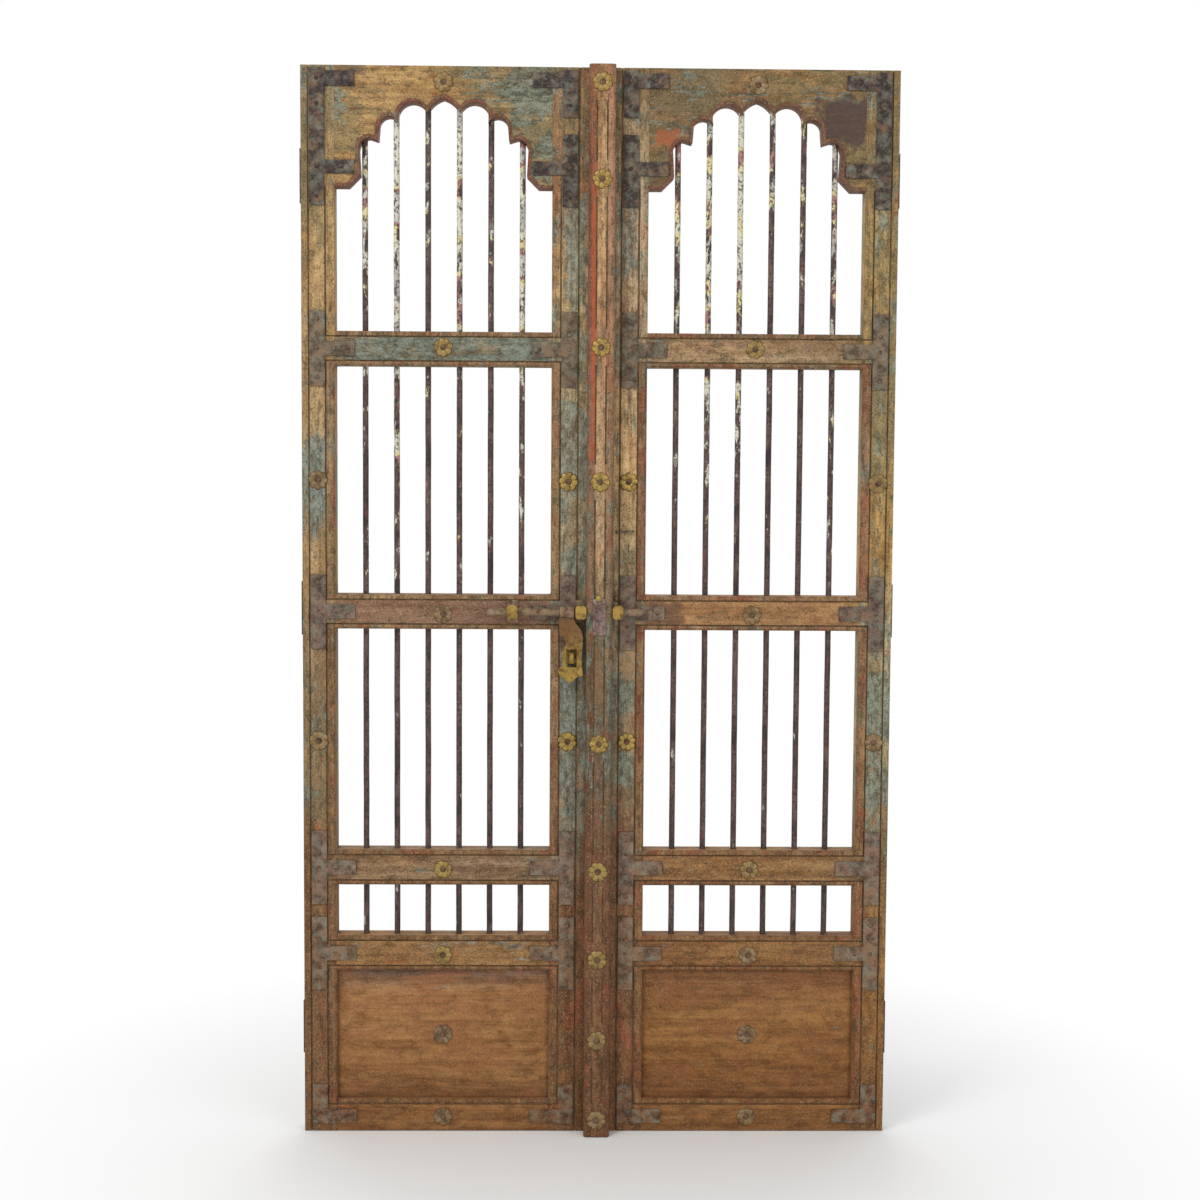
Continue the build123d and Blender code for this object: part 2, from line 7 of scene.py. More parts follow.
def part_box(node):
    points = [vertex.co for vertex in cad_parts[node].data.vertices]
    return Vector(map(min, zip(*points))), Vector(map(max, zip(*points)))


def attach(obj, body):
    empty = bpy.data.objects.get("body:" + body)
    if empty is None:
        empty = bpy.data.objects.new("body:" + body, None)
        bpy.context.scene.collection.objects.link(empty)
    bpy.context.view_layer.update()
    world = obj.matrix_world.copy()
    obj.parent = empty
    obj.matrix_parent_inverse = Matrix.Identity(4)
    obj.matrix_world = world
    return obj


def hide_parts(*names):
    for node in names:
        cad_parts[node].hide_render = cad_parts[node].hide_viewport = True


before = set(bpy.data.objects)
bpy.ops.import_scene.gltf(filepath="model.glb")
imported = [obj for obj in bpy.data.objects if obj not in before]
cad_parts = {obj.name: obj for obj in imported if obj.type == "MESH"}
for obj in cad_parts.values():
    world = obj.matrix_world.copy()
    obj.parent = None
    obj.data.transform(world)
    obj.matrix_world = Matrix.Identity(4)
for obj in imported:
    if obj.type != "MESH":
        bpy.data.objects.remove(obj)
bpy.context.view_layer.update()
print("frame loaded")

# Where the doors stand in the frame, in metres
stileLow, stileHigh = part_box("left_outer_stile")
middleX = (stileLow[0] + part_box("right_outer_stile")[1][0]) / 2
floorLevel = stileLow[2]
faceDepth = stileLow[1]
leafHeight = stileHigh[2] - floorLevel
leafOffset = 0.290
openingHalf = 0.201
sideMoulding = 0.0155
boltHeight = 0.997


def place(x, y, z):
    return Vector((middleX + x, faceDepth + y, floorLevel + z))


def linear(code):
    parts = [int(code[i:i + 2], 16) / 255 for i in (1, 3, 5)]
    return tuple(c / 12.92 if c <= 0.04045 else ((c + 0.055) / 1.055) ** 2.4 for c in parts) + (1.0,)


# Small helpers for node trees
def plug(tree, socket, value):
    if isinstance(value, bpy.types.NodeSocket):
        tree.links.new(value, socket)
    elif isinstance(value, str):
        socket.default_value = linear(value)
    else:
        socket.default_value = value


def addNode(tree, kind, settings=None, **inputs):
    node = tree.nodes.new(kind)
    for key, value in (settings or {}).items():
        setattr(node, key, value)
    for key, value in inputs.items():
        socket = node.inputs[int(key[1:])] if key[0] == "i" and key[1:].isdigit() else node.inputs[key]
        plug(tree, socket, value)
    return node


def ramp(tree, factor, stops, easing="LINEAR"):
    node = tree.nodes.new("ShaderNodeValToRGB")
    node.color_ramp.interpolation = easing
    while len(node.color_ramp.elements) < len(stops):
        node.color_ramp.elements.new(0.5)
    for element, (position, colour) in zip(node.color_ramp.elements, stops):
        element.position = position
        element.color = linear(colour) if isinstance(colour, str) else (colour, colour, colour, 1)
    tree.links.new(factor, node.inputs["Fac"])
    return node.outputs["Color"]


def mix(tree, factor, first, second, blend="MIX"):
    node = tree.nodes.new("ShaderNodeMix")
    node.data_type = "RGBA"
    node.blend_type = blend
    for number, value in ((0, factor), (6, first), (7, second)):
        plug(tree, node.inputs[number], value)
    return node.outputs[2]


def calc(tree, operation, first, second=0.5):
    node = tree.nodes.new("ShaderNodeMath")
    node.operation = operation
    plug(tree, node.inputs[0], first)
    plug(tree, node.inputs[1], second)
    return node.outputs[0]


def spread(tree, value, low, high, start=0.0, end=1.0):
    node = addNode(tree, "ShaderNodeMapRange", None, Value=value, i1=low, i2=high, i3=start, i4=end)
    return node.outputs[0]


def cloud(tree, vector, scale, seed, detail=6.0, roughness=0.65):
    node = addNode(tree, "ShaderNodeTexNoise", {"noise_dimensions": "4D"}, Vector=vector, Scale=scale, W=seed,
                   Detail=detail, Roughness=roughness)
    return node.outputs[0]


def stretched(tree, vector, scale):
    return addNode(tree, "ShaderNodeMapping", None, Vector=vector, Scale=scale).outputs[0]


def newGroup(name, inputs, outputs):
    group = bpy.data.node_groups.new(name, "ShaderNodeTree")
    kinds = {"value": "NodeSocketFloat", "vector": "NodeSocketVector", "colour": "NodeSocketColor"}
    for label, kind in inputs:
        group.interface.new_socket(name=label, in_out="INPUT", socket_type=kinds[kind])
    for label, kind in outputs:
        group.interface.new_socket(name=label, in_out="OUTPUT", socket_type=kinds[kind])
    return group, group.nodes.new("NodeGroupInput").outputs, group.nodes.new("NodeGroupOutput").inputs


def useGroup(tree, group, **inputs):
    node = tree.nodes.new("ShaderNodeGroup")
    node.node_tree = group
    for key, value in inputs.items():
        plug(tree, node.inputs[key], value)
    return node.outputs


# Blotches of paint, rust or dirt that cover a stated share of the surface
def buildPatch():
    group, source, result = newGroup(
        "patchMask",
        [("Vector", "vector"), ("Scale", "value"), ("Cover", "value"), ("Soft", "value"), ("Seed", "value"),
         ("Break", "value")],
        [("Mask", "value")])
    spots = cloud(group, source["Vector"], source["Scale"], source["Seed"], 9.0, 0.66)
    spots = calc(group, "ADD", spots, source["Break"])
    edge = spread(group, source["Cover"], 0.0, 1.0, 0.70, 0.30)
    low = calc(group, "SUBTRACT", edge, source["Soft"])
    high = calc(group, "ADD", edge, source["Soft"])
    group.links.new(spread(group, spots, low, high), result["Mask"])
    return group


patchGroup = buildPatch()


def patch(tree, vector, scale, cover, soft, seed, ragged=0.0):
    outputs = useGroup(tree, patchGroup, Vector=vector, Scale=scale, Cover=cover, Soft=soft, Seed=seed, Break=ragged)
    return outputs["Mask"]


def fade(tree, mask, share):
    return calc(tree, "MULTIPLY", mask, share)


# Old wood that was painted often: bare wood with grain, olive film, remains of
# paint, warm stains, dirt in blotches and in specks, and painted shade in the corners
# The last two entries give the colour and reach of the painted shade in corners
woodFilms = {"streak": "#CFC1B0", "hollow": "#927C64", "bleached": (1.35, 1.32, 1.22, 1.0), "olive": "#686548",
             "oliveShare": 0.52, "warmShare": 0.62, "fadedPaint": "#98968A", "chalk": "#A9B5A8", "paintShare": 0.72,
             "dirt": "#33281A", "dirtShare": 0.48, "speck": "#33281B", "lightSpeck": "#BFAE88", "crack": "#2A2016",
             "corner": "#3E3022", "cornerReach": 0.008}


def buildAgedWood():
    group, source, result = newGroup(
        "agedWood",
        [("Vector", "vector"), ("Grain", "vector"), ("Smear", "vector"), ("Bare", "colour"),
         ("Paint Colour", "colour"), ("Paint", "value"), ("Olive", "value"), ("Warm Colour", "colour"),
         ("Warm", "value"), ("Dirt", "value"), ("Fine", "value"), ("Seed", "value")],
        [("Color", "colour"), ("Height", "value"), ("Roughness", "value")])
    vector, grain, smear, seed = source["Vector"], source["Grain"], source["Smear"], source["Seed"]
    bare, paintColour, fine = source["Bare"], source["Paint Colour"], source["Fine"]

    def later(step):
        return calc(group, "ADD", seed, step)

    def shaded(colour, shade):
        return mix(group, 1.0, colour, shade, "MULTIPLY")

    fibre = cloud(group, grain, 230.0, seed, 5.0, 0.7)
    streak = cloud(group, grain, 60.0, later(2.0), 6.0, 0.6)
    ragged = fade(group, calc(group, "SUBTRACT", fibre, 0.5), 0.55)
    tone = mix(group, spread(group, streak, 0.38, 0.60), shaded(bare, woodFilms["streak"]), bare)
    mottle = cloud(group, smear, 48.0, later(5.0), 9.0, 0.74)
    hollow = fade(group, spread(group, mottle, 0.52, 0.40), 0.55)
    tone = mix(group, hollow, tone, shaded(bare, woodFilms["hollow"]))
    bleached = fade(group, spread(group, mottle, 0.54, 0.66), 0.45)
    tone = mix(group, bleached, tone, shaded(bare, woodFilms["bleached"]))
    olive = patch(group, smear, 30.0, source["Olive"], 0.035, later(9.0), ragged)
    tone = mix(group, fade(group, olive, woodFilms["oliveShare"]), tone, woodFilms["olive"])
    warm = patch(group, smear, 26.0, source["Warm"], 0.035, later(23.0), ragged)
    tone = mix(group, fade(group, warm, woodFilms["warmShare"]), tone, source["Warm Colour"])
    paint = patch(group, smear, 32.0, source["Paint"], 0.025, later(11.0), ragged)
    tint = cloud(group, smear, 110.0, seed, 5.0, 0.7)
    painted = mix(group, spread(group, tint, 0.40, 0.56), shaded(paintColour, woodFilms["fadedPaint"]), paintColour)
    painted = mix(group, fade(group, spread(group, tint, 0.56, 0.68), 0.5), painted, woodFilms["chalk"])
    tone = mix(group, fade(group, paint, woodFilms["paintShare"]), tone, painted)
    dirt = patch(group, smear, 105.0, source["Dirt"], 0.04, later(31.0), ragged)
    tone = mix(group, fade(group, dirt, woodFilms["dirtShare"]), tone, woodFilms["dirt"])
    specks = patch(group, vector, 300.0, 0.36, 0.04, later(43.0))
    tone = mix(group, calc(group, "MULTIPLY", specks, fine), tone, woodFilms["speck"])
    lightSpecks = patch(group, vector, 360.0, 0.30, 0.04, later(47.0))
    tone = mix(group, calc(group, "MULTIPLY", lightSpecks, fade(group, fine, 0.7)), tone, woodFilms["lightSpeck"])
    crack = cloud(group, grain, 46.0, later(7.0), 3.0)
    crack = calc(group, "ABSOLUTE", calc(group, "SUBTRACT", crack, 0.5))
    crack = spread(group, crack, 0.0, 0.007, 1.0, 0.0)
    tone = mix(group, fade(group, crack, 0.35), tone, woodFilms["crack"])
    shade = spread(group, fibre, 0.32, 0.68, 0.84, 1.12)
    grey = addNode(group, "ShaderNodeCombineColor", None, Red=shade, Green=shade, Blue=shade).outputs[0]
    tone = shaded(tone, grey)
    # Painted shade: dark brown where ambient occlusion finds corners, grooves and joints
    corner = addNode(group, "ShaderNodeAmbientOcclusion", {"samples": 4}, Distance=woodFilms["cornerReach"])
    corner = spread(group, corner.outputs["AO"], 0.80, 0.30, 0.0, 0.32)
    tone = mix(group, corner, tone, woodFilms["corner"])
    height = calc(group, "ADD", fade(group, fibre, 0.45), fade(group, streak, 0.6))
    height = calc(group, "ADD", height, fade(group, paint, 0.22))
    height = calc(group, "SUBTRACT", height, fade(group, crack, 0.3))
    group.links.new(tone, result["Color"])
    group.links.new(height, result["Height"])
    group.links.new(spread(group, fibre, 0.3, 0.7, 0.68, 0.9), result["Roughness"])
    return group


agedWood = buildAgedWood()
print("shared effects built")


def startMaterial(name, roughness, metallic=0.0):
    material = bpy.data.materials.new(name)
    material.use_nodes = True
    tree = material.node_tree
    tree.nodes.clear()
    output = tree.nodes.new("ShaderNodeOutputMaterial")
    shader = tree.nodes.new("ShaderNodeBsdfPrincipled")
    shader.inputs["Roughness"].default_value = roughness
    shader.inputs["Metallic"].default_value = metallic
    shader.inputs["Specular IOR Level"].default_value = 0.3
    tree.links.new(shader.outputs[0], output.inputs[0])
    return material, tree, shader, tree.nodes.new("ShaderNodeTexCoord").outputs["Object"]


def bump(tree, shader, height, distance, strength=0.7):
    node = addNode(tree, "ShaderNodeBump", None, Height=height, Distance=distance, Strength=strength)
    tree.links.new(node.outputs[0], shader.inputs["Normal"])


# Wood with zones along its length: each stop is (place from 0 to 1, bare
# colour, share of paint, share of olive film). Patches raise one of the shares
# around a spot, stains lay a colour over one: (x, z, half width, half height,
# strength) in metres, x from the middle of the pair and z from the floor.
def woodMaterial(name, wood, zoneAxis, low, high):
    material, tree, shader, coordinates = startMaterial(name, 0.8)
    alongX = wood.get("grain", zoneAxis) == "X"
    grain = stretched(tree, coordinates, (0.045, 1.0, 1.0) if alongX else (1.0, 1.0, 0.045))
    smear = stretched(tree, coordinates, (0.5, 1.0, 1.0) if alongX else (1.0, 1.0, 0.5))
    seed = wood["seed"]
    along = addNode(tree, "ShaderNodeSeparateXYZ", None, Vector=coordinates).outputs[zoneAxis]
    wander = calc(tree, "SUBTRACT", cloud(tree, smear, 22.0, seed, 5.0, 0.7), 0.5)
    along = calc(tree, "ADD", along, fade(tree, wander, 0.20 * min(high - low, 0.8)))
    where = spread(tree, along, low, high)
    zones = wood["zones"]
    shares = {film: ramp(tree, where, [(stop[0], stop[column]) for stop in zones])
              for film, column in (("paint", 2), ("olive", 3))}
    for film, *spot in wood.get("patches", ()):
        shares[film] = calc(tree, "MAXIMUM", shares[film], spotMask(tree, coordinates, *spot))
    shared = useGroup(
        tree, agedWood, Vector=coordinates, Grain=grain, Smear=smear, Seed=seed,
        Bare=ramp(tree, where, [(stop[0], stop[1]) for stop in zones]),
        Paint=shares["paint"], Olive=shares["olive"],
        **{"Paint Colour": wood.get("paint", "#7C8D83"), "Warm Colour": wood.get("warm", "#A4562F"),
           "Warm": wood.get("warmShare", 0.14), "Dirt": wood.get("dirt", 0.36), "Fine": wood.get("fine", 0.6)})
    tone = shared["Color"]
    for *spot, colour in wood.get("stains", ()):
        tone = mix(tree, spotMask(tree, coordinates, *spot), tone, colour)
    tree.links.new(tone, shader.inputs["Base Color"])
    tree.links.new(shared["Roughness"], shader.inputs["Roughness"])
    bump(tree, shader, shared["Height"], 0.0011)
    return material


# Mask of one ragged spot
def spotMask(tree, coordinates, x, z, halfX, halfZ, strength):
    middle = place(x, 0, z)
    moved = addNode(tree, "ShaderNodeVectorMath", {"operation": "SUBTRACT"}, i0=coordinates, i1=middle).outputs[0]
    scaled = addNode(tree, "ShaderNodeVectorMath", {"operation": "MULTIPLY"}, i0=moved,
                     i1=(1 / halfX, 0.0, 1 / halfZ)).outputs[0]
    parts = addNode(tree, "ShaderNodeSeparateXYZ", None, Vector=scaled).outputs
    square = calc(tree, "MAXIMUM", calc(tree, "ABSOLUTE", parts["X"]), calc(tree, "ABSOLUTE", parts["Z"]))
    rough = fade(tree, calc(tree, "SUBTRACT", cloud(tree, coordinates, 55.0, x, 6.0), 0.5), 2.2)
    return spread(tree, calc(tree, "ADD", square, rough), 1.15, 0.80, 0.0, strength)


# Iron with rust and remains of paint; its tone changes with the height
def ironMaterial(name, zones, fleck, cover, seed, scale=45.0, fleckShare=0.7):
    material, tree, shader, coordinates = startMaterial(name, 0.7)
    height = addNode(tree, "ShaderNodeSeparateXYZ", None, Vector=coordinates).outputs["Z"]
    where = spread(tree, height, floorLevel, floorLevel + leafHeight)
    base = ramp(tree, where, zones)
    clouds = cloud(tree, coordinates, scale, seed, 8.0, 0.7)
    tone = mix(tree, spread(tree, clouds, 0.40, 0.56), mix(tree, 1.0, base, "#9A8C80", "MULTIPLY"), base)
    tone = mix(tree, fade(tree, spread(tree, clouds, 0.50, 0.64), 0.6), tone, "#8E6C4A")
    spots = patch(tree, coordinates, scale * 1.4, cover, 0.09, seed + 5.0)
    tone = mix(tree, fade(tree, spots, fleckShare), tone, fleck)
    pits = patch(tree, coordinates, scale * 7, 0.32, 0.05, seed + 9.0)
    tone = mix(tree, fade(tree, pits, 0.4), tone, "#241D19")
    lights = patch(tree, coordinates, scale * 8, 0.20, 0.05, seed + 15.0)
    tone = mix(tree, fade(tree, lights, 0.35), tone, "#A8977C")
    # Painted shade: near-black brown in corners and where parts meet, found by ambient occlusion
    corner = addNode(tree, "ShaderNodeAmbientOcclusion", {"samples": 4}, Distance=0.004).outputs["AO"]
    tone = mix(tree, spread(tree, corner, 0.85, 0.5, 0.0, 0.5), tone, "#211A16")
    tree.links.new(tone, shader.inputs["Base Color"])
    tree.links.new(spread(tree, clouds, 0.3, 0.7, 0.58, 0.85), shader.inputs["Roughness"])
    bump(tree, shader, calc(tree, "SUBTRACT", clouds, fade(tree, pits, 0.3)), 0.0010)
    return material


# Brass: bright where it is rubbed, with painted shade making it brown in the
# hollows; a piece's own "tarnish" from 0 to 1 turns it towards old painted metal
def brassMaterial(name, bright, dull, cover, seed, tarnished=False, metallic=0.55, brown=None):
    material, tree, shader, coordinates = startMaterial(name, 0.45, metallic)
    clouds = cloud(tree, coordinates, 75.0, seed, 8.0, 0.65)
    tone = ramp(tree, clouds, [(0.36, dull), (0.53, bright), (0.68, bright)])
    if brown:
        height = addNode(tree, "ShaderNodeSeparateXYZ", None, Vector=coordinates).outputs["Z"]
        browned = spread(tree, height, floorLevel + brown[0], floorLevel + brown[1], 0.0, 0.85)
        tone = mix(tree, browned, tone, "#6E4B33")
    worn = patch(tree, coordinates, 130.0, cover, 0.06, seed + 2.0)
    tone = mix(tree, fade(tree, worn, 0.65), tone, "#4E3B22")
    # Painted shade: dark brown where ambient occlusion finds hollows
    corner = addNode(tree, "ShaderNodeAmbientOcclusion", {"samples": 4}, Distance=0.006).outputs["AO"]
    tone = mix(tree, spread(tree, corner, 0.85, 0.45, 0.0, 0.7), tone, "#33260F")
    shine = fade(tree, spread(tree, worn, 0.0, 1.0, 1.0, 0.4), metallic)
    if tarnished:
        own = addNode(tree, "ShaderNodeAttribute", {"attribute_name": "tarnish"}).outputs["Fac"]
        oldTones = [(0.38, "#4C3D2B"), (0.5, "#7A5F41"), (0.62, "#8F8068")]
        old = ramp(tree, cloud(tree, coordinates, 90.0, seed + 4.0), oldTones)
        tone = mix(tree, own, tone, old)
        shine = calc(tree, "MULTIPLY", shine, calc(tree, "SUBTRACT", 1.0, own))
    tree.links.new(tone, shader.inputs["Base Color"])
    tree.links.new(shine, shader.inputs["Metallic"])
    tree.links.new(spread(tree, worn, 0.0, 1.0, 0.38, 0.75), shader.inputs["Roughness"])
    bump(tree, shader, clouds, 0.0006, 0.5)
    return material


# Bars: brown iron under flakes of white, cream, pink and yellow paint; each
# bar has its own share of flakes in "flakes"
def barMaterial(name, seed):
    material, tree, shader, coordinates = startMaterial(name, 0.65)
    height = addNode(tree, "ShaderNodeSeparateXYZ", None, Vector=coordinates).outputs["Z"]
    row = spread(tree, height, floorLevel + 0.35, floorLevel + 1.95)
    share = ramp(tree, row, [(0.0, 0.36), (0.12, 0.16), (0.38, 0.16), (0.42, 0.30), (0.62, 0.46), (0.72, 0.58),
                             (0.80, 0.64), (1.0, 0.86)])
    own = addNode(tree, "ShaderNodeAttribute", {"attribute_name": "flakes"}).outputs["Fac"]
    share = calc(tree, "MULTIPLY", share, own)
    lengthwise = stretched(tree, coordinates, (1.0, 1.0, 0.35))
    base = cloud(tree, lengthwise, 60.0, seed)
    tone = ramp(tree, base, [(0.36, "#352B28"), (0.5, "#584640"), (0.66, "#6F5850")])
    flakes = patch(tree, lengthwise, 70.0, share, 0.02, seed + 1.0)
    kinds = cloud(tree, coordinates, 12.0, seed + 4.0, 2.0)
    paints = ramp(tree, kinds, [(0.0, "#B4B1A6"), (0.42, "#D6D1BE"), (0.52, "#D9CD98"), (0.57, "#A87C74"),
                                (0.62, "#C9C5BA")], "CONSTANT")
    tone = mix(tree, flakes, tone, paints)
    chips = patch(tree, coordinates, 190.0, 0.40, 0.02, seed + 7.0)
    tone = mix(tree, fade(tree, chips, 0.8), tone, "#2E2725")
    pinks = patch(tree, lengthwise, 90.0, 0.20, 0.03, seed + 17.0)
    tone = mix(tree, fade(tree, pinks, 0.5), tone, "#8E4A48")
    tree.links.new(tone, shader.inputs["Base Color"])
    bump(tree, shader, calc(tree, "ADD", base, fade(tree, flakes, 0.5)), 0.0008)
    return material


# Each zone is (height from 0 to 1, colour)
strapZones = [(0.0, "#7A5338"), (0.15, "#84664C"), (0.22, "#8A6E5A"), (0.33, "#80685C"), (0.5, "#786358"),
              (0.76, "#7A6A56"), (0.88, "#4E423D"), (1.0, "#44393A")]
hingeZones = [(0.0, "#4A4240"), (1.0, "#504642")]
plateZones = [(0.0, "#8A6F68"), (1.0, "#8A6F68")]
boltZones = [(0.0, "#8C735A"), (1.0, "#8C735A")]
nailZones = [(0.0, "#78583F"), (0.4, "#6E4C3A"), (1.0, "#745A42")]
ironStrap = ironMaterial("strapIron", strapZones, "#848878", 0.36, 3.0, fleckShare=0.6)
ironRivet = ironMaterial("rivetIron", strapZones, "#84887A", 0.22, 8.0, 90.0)
ironHinge = ironMaterial("hingeIron", hingeZones, "#6B5A4A", 0.2, 12.0, 60.0)
ironPlate = ironMaterial("plateIron", plateZones, "#A8A498", 0.28, 21.0)
ironBolt = ironMaterial("boltPaint", boltZones, "#A69C80", 0.3, 31.0, 60.0)
ironNail = ironMaterial("nailIron", nailZones, "#8A8270", 0.2, 14.0, 120.0)
haspBrown = (boltHeight - 0.090, boltHeight - 0.035)  # the hasp turns brown between these heights
brassGuide = brassMaterial("guideBrass", "#AA8B44", "#6A532C", 0.34, 6.0)
brassHasp = brassMaterial("haspBrass", "#A48742", "#6C512C", 0.34, 4.0, brown=haspBrown)
brassRosette = brassMaterial("rosetteBrass", "#B3954A", "#735B30", 0.34, 9.0, True, 0.35)
print("metals mixed")


# A CAD node's mesh as a new object: merged, flattened, edges softened
def dressNode(node, body, materials, choose=None, bevel=0.0015, segments=2):
    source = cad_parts[node]
    mesh = source.data.copy()
    mesh.materials.clear()
    for material in materials:
        mesh.materials.append(material)
    cells = bmesh.new()
    cells.from_mesh(mesh)
    cells.transform(source.matrix_world)
    bmesh.ops.remove_doubles(cells, verts=cells.verts, dist=0.00002)
    bmesh.ops.dissolve_limit(cells, angle_limit=0.02, verts=cells.verts, edges=cells.edges)
    for face in cells.faces:
        face.material_index = choose(face) if choose else 0
        face.smooth = True
    cells.to_mesh(mesh)
    cells.free()
    piece = bpy.data.objects.new("dressed_" + node, mesh)
    bpy.context.scene.collection.objects.link(piece)
    soften = piece.modifiers.new("soften", "BEVEL")
    soften.width = bevel
    soften.segments = segments
    soften.limit_method = "ANGLE"
    soften.angle_limit = math.radians(35)
    soften.harden_normals = True
    graph = bpy.context.evaluated_depsgraph_get()
    applied = bpy.data.meshes.new_from_object(piece.evaluated_get(graph))
    piece.modifiers.clear()
    piece.data = applied
    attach(piece, body)
    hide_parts(node)
    return piece


# Which look a face of a leaf member gets: flat wood, moulding beside an
# opening, bottom of a groove, raised rim of the scallops
flatLook, mouldingLook, grooveLook, rimLook = range(4)
archFoot = 1.785


def faceChooser(side, node):
    centre = middleX + side * leafOffset
    edge = openingHalf + sideMoulding + 0.0004

    def choose(face):
        depths = [vert.co.y - faceDepth for vert in face.verts]
        if min(depths) < -0.0005:
            return rimLook
        if min(depths) > 0.0022 and max(depths) < 0.0042:
            return grooveLook
        if max(depths) > 0.0045:
            return flatLook
        across = [abs(vert.co.x - centre) for vert in face.verts]
        heights = [vert.co.z for vert in face.verts]
        if node.endswith("stile"):
            beside = max(across) < edge and max(heights) < floorLevel + archFoot
            return mouldingLook if beside else flatLook
        thin = max(heights) - min(heights) < 0.0095 and max(heights) - floorLevel < archFoot - 0.005
        return mouldingLook if thin else flatLook
    return choose


